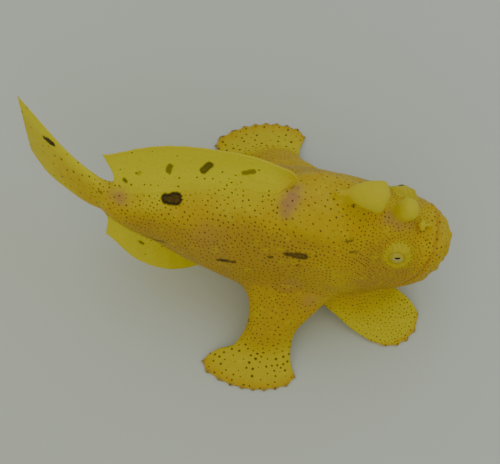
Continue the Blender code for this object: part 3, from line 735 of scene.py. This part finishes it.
def build_skin():
    """One skin over the head, the body and the tail fin."""
    path = skin_path()
    rings = np.linspace(0, 1, len(path))

    def place_on(across, t):
        s, share, tail = (np.interp(t, rings, path[:, k]) for k in range(3))
        angle = 2 * np.pi * across
        nose = np.clip(t * len(path) / 4, 0, 1)
        centre, _, _, along, *_ = body_frame(s)
        points = centre + (body_point(s, angle) - centre) * np.sin(nose * np.pi / 2)[..., None]
        points = points + along * (1.1 * np.cos(nose * np.pi / 2))[..., None]
        return mix(points, tail_point(angle, share), tail[..., None]), share

    def near_features(reach_eye, reach_mouth):
        def wanted(across, t):
            points, _ = place_on(across, t)
            hit = np.zeros(len(points), bool)
            for side in SIDES.values():
                hit |= eye_parts(points, side)[1] < reach_eye
                hit |= distance(points, mirrored(NOSTRIL, side)) < reach_eye * 0.3
                hit |= distance(points, mirrored(GILL_PORE, side)) < reach_eye * 0.55
            front, rise = mouth_parts(points)
            hit |= (np.abs(front) < reach_mouth) & (rise > -0.12)
            return hit

        return wanted

    def place(across, t):
        points, share = place_on(across, t)
        front, rise = mouth_parts(points)
        above_hinge = smooth((rise + 0.04) / 0.1)
        lip = hump(front - 0.4, 2.0) * above_hinge
        edge = smooth((share - 0.2) / 0.3) * hump(np.sin(2 * np.pi * across), 0.3)
        edge = np.maximum(smooth((share - 0.93) / 0.07), edge) * (share > 0.2)
        return points, {"crease": hump(front, 0.7) * above_hinge, "rim": edge, "amber_edge": lip}

    finer = near_features(reach_eye=5.2, reach_mouth=2.6), near_features(reach_eye=4.2, reach_mouth=0.9)
    grid = flat_grid(SKIN_AROUND, len(path) - 1, finer)
    skin = formed(grid, "body_skin", place)
    points, out = points_of(skin), normals_of(skin)
    lumps = 0.25 * wander(points, 9.0) + 0.1 * wander(points, 3.2, 4.0)
    raised = head_relief(points) + jaw_lumps(points) + nape_relief(points) + gill_relief(points)
    raised = raised + lumps * smooth((60 - points[:, 0]) / 6) * smooth((points[:, 0] + 60) / 8)
    points = points + out * raised[..., None] + nostril_relief(points)
    set_points(skin, with_eyelids(points))
    return skin


# Dorsal spines: closed parts are melted into one smooth form.


def stalk(centres, radii, around=20, along=40, flat=1.0):
    """A closed tube, as a bmesh, round a smooth line through centres; flat squeezes it against the upright."""
    centres = np.array(centres, float)
    chord = centres[-1] - centres[0]
    axis = min((FRONT, LEFT, UP), key=lambda a: abs(chord @ a))

    def place(across, t):
        angle = 2 * np.pi * across
        ahead = unit(through(centres, t + 0.02) - through(centres, t - 0.02))
        side = unit(np.cross(ahead, axis))
        radius = np.maximum(through(radii, t), 0.0)[..., None]
        ring = side * np.cos(angle)[..., None] + np.cross(ahead, side) * np.sin(angle)[..., None]
        return through(centres, t) + ring * radius * (1 - (1 - flat) * UP), {}

    return closed(flat_grid(around, along), place)


def melted(name, parts, voxel, rounds):
    """Joins closed parts, remeshes them as one skin and smooths it."""
    whole = bmesh.new()
    for part in parts:
        mesh = bpy.data.meshes.new("part")
        part.to_mesh(mesh)
        part.free()
        whole.from_mesh(mesh)
        bpy.data.meshes.remove(mesh)
    obj = linked(whole, name)
    remesh = obj.modifiers.new("one_skin", "REMESH")
    remesh.mode, remesh.voxel_size, remesh.use_smooth_shade = "VOXEL", voxel, True
    soften = obj.modifiers.new("soften", "SMOOTH")
    soften.factor, soften.iterations = 0.5, rounds
    baked = bpy.data.meshes.new_from_object(obj.evaluated_get(bpy.context.evaluated_depsgraph_get()))
    obj.modifiers.clear()
    obj.data = baked
    baked.name = name
    baked.shade_smooth()
    return obj


def web_sheet(feet, tops, thick_root, thick_top):
    """A thin upright web between a line of feet and a line of tops, as a closed bmesh."""

    def place(across, t):
        w, side = sides_of(across)
        half = mix(thick_root, thick_top, t) / 2 * np.sqrt(np.clip(1 - (2 * w - 1) ** 8, 0, 1))
        return mix(through(feet, w), through(tops, w), t[..., None]) + LEFT * (side * half)[..., None], {}

    return closed(flat_grid(60, 20), place)


def build_spines():
    """The lure with its three-lobed bait, the club between the eyes and the webbed club on the nape."""
    rod = stalk(ROD_LINE, (0.9, 0.65, 0.5, 0.45), 16, 50)
    tip = np.array(ROD_LINE[-1], float)
    lobes = (
        ((0.5, 0, 0), (-2.0, 0.1, -0.3), 1.25), ((0.3, -0.2, 0), (-1.1, -1.7, -0.2), 1.1),
        ((0.3, 0.2, 0), (-1.1, 1.6, 0.2), 1.1),
    )
    bait = [stalk((tip + a, tip + b), (0.45, r, 0.3), 16, 20) for a, b, r in lobes]
    first = melted("lure_spine", [rod, *bait], LURE_VOXEL, 14)

    club = stalk(CLUB_LINE, (2.0, 2.2, 2.8, 3.4, 3.6, 2.9, 0.3), 40, 50)
    second = melted("club_spine", [club], CLUB_VOXEL, 10)
    points, out = points_of(second), normals_of(second)
    dimple = hump(distance(points, np.array([40.6, 1.6, 59.3])), 1.5)
    set_points(second, points + out * (0.1 * wander(points, 2.4, 3.0) - 0.5 * dimple)[:, None])

    xs = np.linspace(4.5, 29.5, 9)
    feet = body_point(station_at(xs), np.zeros_like(xs), -2.5)
    tops = np.stack([xs, smooth((xs - 4.5) / 12.5), mix(55.5, 62.5, smooth((xs - 4.5) / 20.0))], -1)
    bulb = stalk(BULB_LINE, (0.9, 1.5, 3.7, 5.1, 4.8, 0.3), 48, 60, 0.9)
    shaft = stalk(SHAFT_LINE, (1.6, 1.5, 2.6), 30, 20)
    third = melted("nape_spine", [bulb, shaft, web_sheet(feet, tops, 2.0, 1.5)], NAPE_VOXEL, 24)
    points, out = points_of(third), normals_of(third)
    set_points(third, points + out * (0.22 * wander(points, 4.0, 5.0) + 0.08 * wander(points, 1.6, 6.0))[:, None])
    set_value(third, "stiff", 1 - smooth((points[:, 0] - 15) / 3))
    return first, second, third


def build_eye(name, side):
    """An eyeball whose clear bulge stands a little proud of its iris, turned along its gaze."""
    bm = bmesh.new()
    bmesh.ops.create_uvsphere(bm, u_segments=144, v_segments=80, radius=EYE_RADIUS)
    gaze = Vector(unit(mirrored(EYE_GAZE[side], side)))
    layer = bm.verts.layers.float.new("from_pupil")
    for v in bm.verts:
        across = math.hypot(v.co.x, v.co.y)
        v[layer] = math.hypot(v.co.x, v.co.y * 2.4) if v.co.z > 0 else EYE_RADIUS * 3
        if v.co.z > 0:
            v.co.z += 0.26 * math.exp(-((across / 1.9) ** 2))
    turn = gaze.to_track_quat("Z", "Y").to_matrix().to_4x4()
    bmesh.ops.transform(bm, matrix=Matrix.Translation(mirrored(EYE_CENTRE, side)) @ turn, verts=bm.verts)
    eye = linked(bm, name)
    points = points_of(eye)
    set_value(eye, "spoke", spokes(points))
    # A cream crescent goes below the pupil: the iris's pale ring and a painted glint.
    pupil_height = EYE_CENTRE[2] + EYE_RADIUS * unit(EYE_GAZE[side])[2]
    set_value(eye, "glint_below_pupil", smooth((pupil_height + 0.1 - points[:, 2]) / 0.4))
    return eye


skin = build_skin()
dorsal_fin = build_median_fin("dorsal_fin_web", DORSAL, 0.45)
anal_fin = build_median_fin("anal_fin_web", ANAL, 0.35)
limbs = {}
for side_name in SIDES:
    limbs["pectoral", side_name] = build_limb(f"pectoral_{side_name}", PECTORAL, side_name)
    limbs["pelvic", side_name] = build_limb(f"pelvic_{side_name}", PELVIC, side_name)
lure, club, nape = build_spines()
eyes = {name: build_eye(f"eyeball_{name}", side) for name, side in SIDES.items()}

blend_together(
    [(skin, limb, PECTORAL_FILLET if kind == "pectoral" else PELVIC_FILLET) for (kind, _), limb in limbs.items()]
    + [(limbs["pectoral", side_name], limbs["pelvic", side_name], LIMB_FILLET) for side_name in SIDES]
    + [(skin, dorsal_fin, DORSAL_FILLET), (skin, anal_fin, ANAL_FILLET)]
    + [(skin, nape, NAPE_FILLET), (skin, club, CLUB_FILLET), (skin, lure, LURE_FILLET)]
)
for piece in (skin, *limbs.values()):
    points = points_of(piece)
    points[:, 2] = np.maximum(points[:, 2], 0.0)
    set_points(piece, points)


# Colour areas, worked out at each point of the finished shapes from where it lies on the fish.

# Dark marks: two ends of a streak in millimetres, its radius, and how dark it is. Those further than MIDLINE out
# on the right flank are repeated on the left one, a little moved.
MIDLINE, MARK_SHIFT = 5, np.array([1.3, 0, -0.8])
MARKS = (
    ((-38.8, -2.4, 48.6), (-38.5, -2.4, 48.7), 1.8, 1.0), ((-35.8, -2.3, 49.4), (-35.4, -2.3, 49.5), 2.3, 1.0),
    ((-37.6, -2.5, 48.8), (-36.6, -2.4, 49.0), 1.9, 1.0),
    ((-27.2, 5.1, 57.9), (-25.0, 6.1, 61.0), 1.25, 0.85),
    ((-38.7, 5.2, 53.9), (-38.1, 6.2, 56.0), 0.95, 0.7),
    ((-13.8, 4.5, 61.0), (-10.8, 4.8, 62.5), 0.85, 0.65),
    ((-48.8, 4.6, 50.0), (-48.0, 5.0, 50.9), 0.6, 0.35),
    ((-53.2, 3.3, 47.1), (-52.6, 2.8, 46.9), 0.6, 0.8),
    ((2.2, -16.3, 46.3), (5.4, -16.3, 46.0), 1.05, 0.8), ((5.2, -16.1, 45.8), (8.0, -16.1, 45.6), 1.35, 0.85),
    ((-3.4, -16.8, 43.5), (-2.6, -16.8, 43.8), 0.7, 0.75),
    ((11.6, -15.5, 46.3), (11.8, -15.5, 46.2), 0.5, 0.6),
    ((-20.4, -17.1, 35.9), (-19.1, -17.2, 36.6), 0.6, 0.7), ((-19.1, -17.2, 36.6), (-17.0, -17.5, 37.2), 0.8, 0.9),
    ((-17.0, -17.5, 37.2), (-14.4, -17.9, 38.2), 0.65, 0.8),
    ((-42.3, -10.9, 31.9), (-38.7, -12.2, 34.1), 0.75, 0.55), ((21.6, -1.4, 57.5), (22.3, -1.2, 57.9), 0.5, 0.6),
    ((-47.7, -9.4, 24.0), (-46.6, -9.8, 23.2), 0.45, 0.9),
    ((-81.8, 16.2, 44.1), (-78.3, 13.8, 45.3), 0.8, 1.0), ((-80.7, 15.4, 44.5), (-79.4, 14.5, 44.9), 1.15, 1.0),
    ((-61.7, 0.7, 40.6), (-60.8, 0.3, 40.8), 0.45, 0.6),
    ((20.6, -11.2, 50.8), (22.9, -10.6, 50.4), 0.4, 0.65),
    ((22.6, -13.4, 46.8), (25.0, -12.6, 46.4), 0.4, 0.65),
    ((22.3, -5.0, 53.9), (23.6, -4.6, 54.0), 0.6, 0.45),
    ((-8.4, -29.8, 13.4), (-8.2, -29.4, 13.6), 0.5, 0.6),
)
# Patches of rose naked skin without yellow, those in the cleft before the dorsal fin with painted shade as well: a
# centre, a radius and a strength.
BARE_AND_SHADED_PATCHES = (
    ((-54.6, -1.6, 43.4), 3.0, 1.0), ((-56.4, -0.2, 41.6), 3.4, 0.5),
    # These four patches in the cleft before the dorsal fin are rose skin darkened as painted shade.
    ((3.2, 1.6, 59.9), 2.4, 1.0), ((2.3, -1.6, 60.0), 2.6, 1.5), ((1.2, -4.0, 59.2), 2.8, 1.5),
    ((0.6, -6.0, 58.3), 2.4, 1.2),
    ((4.8, -20.3, 30.3), 3.4, 0.45), ((11.4, -22.8, 21.3), 3.4, 0.5), ((-24.0, -12.0, 44.0), 7.0, 0.3),
    ((34.4, -1.8, 51.0), 2.6, 0.7), ((37.2, -2.8, 50.0), 2.4, 0.7), ((40.6, -2.8, 49.4), 2.0, 0.5),
)


def near_any(points, blobs):
    """How strongly the nearest of some soft-edged blobs covers each point."""
    total = np.zeros(len(points))
    for centre, radius, strength in blobs:
        total = np.maximum(total, strength * hump(distance(points, np.array(centre)), radius))
    return total


def mark_field(points):
    """How far inside a dark mark's border each point lies, in millimetres, and how dark that mark is."""
    inside, dark = np.full(len(points), -4.0), np.zeros(len(points))
    for start, end, radius, strength in MARKS:
        for side in (1, -1):
            a, b = (mirrored(p, side) + MARK_SHIFT * (side < 0) for p in (start, end))
            if side < 0 and abs(a[1]) < MIDLINE:
                continue
            run = np.clip(dot(points - a, b - a) / max((b - a) @ (b - a), 1e-6), 0, 1)
            depth = radius - distance(points - a, run[:, None] * (b - a))
            nearer = depth > inside
            inside, dark = np.where(nearer, depth, inside), np.where(nearer, strength, dark)
    return inside, dark


def coloured(piece, gap, size):
    """Stores a piece's colour areas for its material. gap and size are those of its dots, in millimetres."""
    points = points_of(piece)
    x, _, z = points.T
    back = back_height(x)
    cloud = wander(points, 12.0, 21.0)
    behind_nape = smooth((6 - x) / 12)
    # Lemon high on the back is partly the fish's colour and partly painted light, the back lit lighter from above.
    lemon_and_painted_light = smooth((z - back + 5 + 1.5 * cloud) / 9) * behind_nape
    lemon_and_painted_light = np.maximum(lemon_and_painted_light, smooth((-66 - x + 3 * cloud) / 14) * 0.55)
    # Ochre low on the flank is partly the fish's colour and partly painted shade.
    flank = smooth((x + 58) / 10) * smooth((back - z - 1 + 2 * cloud) / 8) * (1 - smooth((x - 2) / 16) * 0.6)
    cheek = smooth((x - 20) / 12) * smooth((48 - x) / 8) * smooth((52 - z) / 8)
    inside, dark = mark_field(points)
    cushion = smooth((1.05 - cushion_ring(points)) / 0.2) * smooth((z - 40) / 6)
    dense = np.maximum(0.25 * flank, 0.47 * smooth((x - 14) / 8) * smooth((50 - x) / 5)) - 0.5 * smooth((x - 49) / 4)
    gap = gap * (1.25 - dense + 0.4 * cushion + 0.25 * wander(points, 7.0, 31.0))
    gap = gap * mix(1.0, 2.2, smooth((-62 - x) / 10)) * mix(1.0, 1.5, smooth((16 - z) / 10) * (piece is skin))
    size = size * mix(1.0, 1.3, smooth((-62 - x) / 10))
    if piece in (dorsal_fin, anal_fin):
        gap = gap * mix(1.3, 5.0, value_of(piece, "upper_fin"))
    for side in SIDES.values():
        lemon_and_painted_light = np.maximum(lemon_and_painted_light, 0.5 * smooth((6.2 - eye_parts(points, side)[1]) / 1.2))
        gap = gap + NO_DOTS * (eye_parts(points, side)[1] < LID_DOME + 0.6)
    gap = np.maximum(gap, 1.02 * widest_faces(piece))
    areas = {
        "lemon_and_painted_light": lemon_and_painted_light, "ochre_and_painted_shade": np.clip(flank + cheek * 0.7, 0, 1), "bare_and_painted_shade": near_any(points, BARE_AND_SHADED_PATCHES),
        "dot": scattered(points, gap, size, len(points)), "mark": inside, "mark_dark": dark,
        "spoke": spokes(points) if piece is skin else 0 * x,
    }
    for key, numbers in areas.items():
        set_value(piece, key, numbers)
    return points


for piece in (skin, dorsal_fin, anal_fin):
    coloured(piece, *BODY_DOTS)
set_value(anal_fin, "lemon_and_painted_light", np.full(len(anal_fin.data.vertices), 0.8))
for (kind, _), limb in limbs.items():
    foot = smooth((13 - points_of(limb)[:, 2]) / 10)
    if kind == "pelvic":
        coloured(limb, *PELVIC_DOTS)
        set_value(limb, "lemon_and_painted_light", 0.7 * foot)
    else:
        coloured(limb, *(mix(arm, fan, foot) for arm, fan in zip(ARM_DOTS, FAN_DOTS)))
        set_value(limb, "lemon_and_painted_light", 0.5 * foot)
    set_value(limb, "ochre_and_painted_shade", value_of(limb, "ochre_and_painted_shade") * 0.5)
for spine, start, end in ((nape, 13.0, 24.0), (club, 49.5, 53.5), (lure, 44.0, 56.0)):
    points = coloured(spine, *SPINE_DOTS)
    height = points[:, 0] if spine is nape else points[:, 2]
    pale = smooth((height - start) / (end - start))
    if spine is nape:
        pale = pale * smooth((points[:, 2] - back_height(points[:, 0]) - 1) / 3)
    set_value(spine, "pale", pale)
    set_value(spine, "dot", value_of(spine, "dot") * (1 - pale))


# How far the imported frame's origin lies from the fish's own, found from where the right eye was packed.
eye_low, eye_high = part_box("eye_right")
SHIFT = np.array((eye_low + eye_high) / 2) / MM - mirrored(EYE_CENTRE, -1)


# Materials. Shader maths is written as plain expressions on a wrapped socket.


class Value:
    """A number that varies over a surface. Arithmetic on it adds Math nodes to the material."""

    def __init__(self, maker, socket):
        self.maker, self.socket = maker, socket

    def _made(self, operation, first, second):
        return self.maker.node("ShaderNodeMath", {0: first, 1: second}, operation=operation)

    def __add__(self, other):
        return self._made("ADD", self, other)

    def __sub__(self, other):
        return self._made("SUBTRACT", self, other)

    def __rsub__(self, other):
        return self._made("SUBTRACT", other, self)

    def __mul__(self, other):
        return self._made("MULTIPLY", self, other)

    __radd__, __rmul__ = __add__, __mul__

    def between(self, low, high):
        """0 below low, 1 above high and smooth between, or the reverse where low is the larger."""
        inputs = {"Value": self, "From Min": min(low, high), "From Max": max(low, high)}
        rising = self.maker.node("ShaderNodeMapRange", inputs, interpolation_type="SMOOTHSTEP", clamp=True)
        return rising if low < high else 1 - rising


class Finish:
    """One material's node tree and the ways to add to it."""

    def __init__(self, name):
        self.material = bpy.data.materials.new(name)
        self.material.use_nodes = True
        self.tree = self.material.node_tree
        self.shader = self.tree.nodes["Principled BSDF"]

    def node(self, kind, inputs=(), output=0, **settings):
        """Adds a node with its settings, fills its sockets with numbers or links, and gives an output."""
        made = self.tree.nodes.new(kind)
        for key, setting in settings.items():
            setattr(made, key, setting)
        for key, given in dict(inputs).items():
            self.fill(made.inputs[key], given)
        return Value(self, made.outputs[output])

    def fill(self, socket, given):
        """Links a socket to a value that varies, or sets it to one that doesn't."""
        if isinstance(given, Value):
            self.tree.links.new(given.socket, socket)
        else:
            socket.default_value = given

    def place(self):
        """Position on the object, in millimetres."""
        here = self.node("ShaderNodeTexCoord", output="Object")
        return self.node("ShaderNodeVectorMath", {0: here, 3: 1 / MM}, operation="SCALE")

    def attribute(self, key):
        return self.node("ShaderNodeAttribute", output="Fac", attribute_name=key)

    def noise(self, place, size, detail=3.0, roughness=0.55):
        """Cloudy noise from 0 to 1 whose lumps are size millimetres across."""
        inputs = {"Vector": place, "Scale": 1 / size, "Detail": detail, "Roughness": roughness}
        return self.node("ShaderNodeTexNoise", inputs)

    def cells(self, place, size):
        """How far each place is from the middle of its cell, for cells of a size in millimetres."""
        return self.node("ShaderNodeTexVoronoi", {"Vector": place, "Scale": 1 / size}, output="Distance")

    def mixed(self, share, first, second):
        """A colour between two colours, each a tuple or an earlier colour."""
        first, second = (c if isinstance(c, Value) else (*c, 1.0) for c in (first, second))
        inputs = {"Factor": share, 6: first, 7: second}
        return self.node("ShaderNodeMix", inputs, output=2, data_type="RGBA", clamp_factor=True)

    def set(self, **sockets):
        for key, given in sockets.items():
            self.fill(self.shader.inputs[key.replace("_", " ")], given)

    def bump(self, height, depth, strength):
        """Roughens the surface by depth metres where height is 1."""
        self.set(Normal=self.node("ShaderNodeBump", {"Height": height, "Distance": depth, "Strength": strength}))


LEMON, GOLD, AMBER = (0.68, 0.635, 0.022), (0.58, 0.425, 0.014), (0.57, 0.35, 0.012)
OCHRE, OLIVE, PALE = (0.44, 0.28, 0.022), (0.36, 0.29, 0.014), (0.60, 0.52, 0.024)
ROSE, BROWN, FRECKLE = (0.46, 0.26, 0.085), (0.15, 0.092, 0.012), (0.115, 0.066, 0.008)
MOUTH_LINE_DARK, INK, PURPLE = (0.32, 0.17, 0.035), (0.028, 0.02, 0.004), (0.20, 0.12, 0.07)
IRIS_DARK, IRIS_LIGHT, IRIS_SPOKE = (0.44, 0.38, 0.016), (0.55, 0.47, 0.022), (0.30, 0.27, 0.02)
PUPIL, PUPIL_RING_AND_GLINT, PALE_FLOOR = (0.004, 0.004, 0.004), (0.85, 0.80, 0.50), (0.60, 0.65, 0.57)


def skin_finish(name):
    """Golden skin with warm clouds, dark freckles and marks, velvety grain and a slightly wet sheen. Its lighter back
    carries painted light, and its ochre lower flank and the rose in the nape's cleft carry painted shade, each over
    the fish's own colour.
    """
    f = Finish(name)
    place = f.place()
    clouds = f.noise(place, 9.0, 3.0)
    patches = f.noise(place, 3.2, 4.0, 0.6)
    fine = f.noise(place, 0.8, 3.0, 0.6)
    colour = f.mixed(clouds.between(0.38, 0.66) * 0.6, GOLD, AMBER)
    # Ochre low on the flank, part the fish's colour and part painted shade.
    colour = f.mixed(f.attribute("ochre_and_painted_shade") * (clouds * 0.5 + 0.7), colour, OCHRE)
    colour = f.mixed(patches.between(0.52, 0.75) * 0.35, colour, AMBER)
    colour = f.mixed(patches.between(0.46, 0.28) * 0.3, colour, LEMON)
    # Lemon on the back, part the fish's colour and part painted light.
    colour = f.mixed(f.attribute("lemon_and_painted_light"), colour, LEMON)
    colour = f.mixed(fine.between(0.45, 0.75) * 0.22, colour, OLIVE)
    colour = f.mixed(f.attribute("amber_edge") * 0.6, colour, AMBER)
    colour = f.mixed(f.attribute("pale"), colour, PALE)
    # Rose on the naked patches; in the cleft before the dorsal fin it is painted shade as well.
    colour = f.mixed(f.attribute("bare_and_painted_shade") * (patches * 0.6 + 0.55), colour, ROSE)
    colour = f.mixed(f.attribute("rim") * 0.7, colour, PALE)
    colour = f.mixed(f.attribute("spoke") * 0.35, colour, OLIVE)
    dots = (f.attribute("dot") + (fine - 0.5) * 0.4).between(0.34, 0.68)
    colour = f.mixed(dots * (patches * 0.5 + 0.72), colour, FRECKLE)
    # Darker reddish brown along the mouth's line.
    colour = f.mixed(f.attribute("crease") * 0.32, colour, MOUTH_LINE_DARK)
    colour = f.mixed(f.attribute("tips") * 0.65, colour, PURPLE)
    ragged = f.attribute("mark") + (f.noise(place, 1.6, 3.0) - 0.5) * 0.8
    mark = ragged.between(-0.45, 0.4) * f.attribute("mark_dark")
    core = ragged.between(0.5, 1.3) * 0.5 + fine.between(0.45, 0.7) * 0.45
    colour = f.mixed(mark, colour, f.mixed(core, INK, BROWN))
    f.set(Base_Color=colour, Roughness=f.noise(place, 2.0).between(0.2, 0.9) * 0.16 + 0.46)
    f.set(Subsurface_Weight=0.12, Subsurface_Radius=(0.9, 0.55, 0.12), Subsurface_Scale=0.0016)
    f.set(Coat_Weight=0.04, Coat_Roughness=0.25, Specular_IOR_Level=0.12)
    grain = f.cells(place, 0.5).between(0.1, 0.7) * -0.5 + f.noise(place, 0.3, 2.0) * 0.5 + patches * 0.8
    f.bump(grain, 0.0001, 0.55)
    return f.material


def eye_finish(name):
    """A yellow-green iris with faint dark spokes round a black pupil, under a wet surface, with a cream crescent below
    the pupil that is the iris's pale ring and a painted glint.
    """
    f = Finish(name)
    away = f.attribute("from_pupil")
    iris = f.mixed(f.noise(f.place(), 0.4, 4.0, 0.7), IRIS_DARK, IRIS_LIGHT)
    iris = f.mixed(f.attribute("spoke") * 0.45, iris, IRIS_SPOKE)
    # The cream crescent below the pupil is the iris's pale ring and a painted glint.
    iris = f.mixed(away.between(1.5, 1.36) * f.attribute("glint_below_pupil"), iris, PUPIL_RING_AND_GLINT)
    iris = f.mixed(away.between(1.12, 1.0), iris, PUPIL)
    f.set(Base_Color=iris, Roughness=0.25, Coat_Weight=0.3, Coat_Roughness=0.05, Specular_IOR_Level=0.3)
    return f.material


def floor_finish(name):
    """A pale matt surface with faint broad clouds."""
    f = Finish(name)
    colour = f.mixed(f.noise(f.place(), 60.0, 2.0) * 0.2, PALE_FLOOR, tuple(c * 0.9 for c in PALE_FLOOR))
    f.set(Base_Color=colour, Roughness=0.6)
    return f.material


body_finish = skin_finish("frogfish_skin")
wet_eye = eye_finish("frogfish_eye")

pieces = [
    (skin, body_finish, "skin", ("head", "lower_jaw", "torso", "tail_stalk", "caudal_fin")),
    (dorsal_fin, body_finish, "fin_membrane", ("dorsal_fin",)),
    (anal_fin, body_finish, "fin_membrane", ("anal_fin",)),
    (lure, body_finish, "spine_skin", ("dorsal_spine_first",)),
    (club, body_finish, "spine_skin", ("dorsal_spine_second",)),
    (nape, body_finish, "spine_skin", ("dorsal_spine_third",)),
]
for side_name in SIDES:
    pectoral, pelvic = limbs["pectoral", side_name], limbs["pelvic", side_name]
    pieces.append((pectoral, body_finish, "skin", (f"pectoral_arm_{side_name}", f"pectoral_fin_{side_name}")))
    pieces.append((pelvic, body_finish, "skin", (f"pelvic_stalk_{side_name}", f"pelvic_fin_{side_name}")))
    pieces.append((eyes[side_name], wet_eye, "eye", (f"eye_{side_name}",)))
for piece, finish, slot, nodes in pieces:
    set_points(piece, (points_of(piece) + SHIFT) * MM)
    piece.data.materials.clear()
    piece.data.materials.append(finish)
    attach(piece, "root")
    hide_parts(*nodes)


# Floor, light and camera.

CAMERA_AZIMUTH, CAMERA_ELEVATION = math.radians(6.5), math.radians(70.0)
CAMERA_DISTANCE, CAMERA_TARGET = 620.0, np.array([-11.0, -4.0, 30.0])
PIXELS_PER_MM, IMAGE_WIDTH = 3.0, 500
FLOOR_HALF_WIDTH = 3.0


def build_floor():
    bm = bmesh.new()
    bmesh.ops.create_grid(bm, x_segments=2, y_segments=2, size=FLOOR_HALF_WIDTH)
    floor = linked(bm, "floor")
    floor.data.materials.append(floor_finish("pale_floor"))


def add_light(name, towards, away, size, power, colour):
    """A round lamp that stands away metres off in a direction and shines on the fish."""
    light = bpy.data.lights.new(name, "AREA")
    light.shape, light.size, light.energy, light.color = "DISK", size, power, colour
    obj = bpy.data.objects.new(name, light)
    back = Vector(towards).normalized()
    obj.location = back * away + Vector((0, 0, 0.03))
    obj.rotation_euler = back.to_track_quat("Z", "Y").to_euler()
    bpy.context.scene.collection.objects.link(obj)


def set_camera():
    level = math.cos(CAMERA_ELEVATION)
    back = Vector((math.sin(CAMERA_AZIMUTH) * level, -math.cos(CAMERA_AZIMUTH) * level, math.sin(CAMERA_ELEVATION)))
    data = bpy.data.cameras.new("camera")
    data.lens = data.sensor_width * PIXELS_PER_MM * CAMERA_DISTANCE / IMAGE_WIDTH
    data.clip_start, data.clip_end = 0.01, 20.0
    camera = bpy.data.objects.new("camera", data)
    camera.location = Vector((CAMERA_TARGET + SHIFT) * MM) + back * (CAMERA_DISTANCE * MM)
    camera.rotation_euler = (-back).to_track_quat("-Z", "Y").to_euler()
    bpy.context.scene.collection.objects.link(camera)
    bpy.context.scene.camera = camera


build_floor()
add_light("key_light", (0.35, 0.45, 1.0), away=1.0, size=0.9, power=2.4, colour=(0.36, 0.54, 1.0))
add_light("fill_light", (-0.3, -1.0, 0.8), away=1.2, size=1.0, power=0.7, colour=(1.0, 1.0, 1.0))
world = bpy.data.worlds.new("studio")
world.use_nodes = True
backdrop = world.node_tree.nodes["Background"].inputs
backdrop["Color"].default_value, backdrop["Strength"].default_value = (1.0, 0.955, 0.77, 1), 0.62
bpy.context.scene.world = world
set_camera()
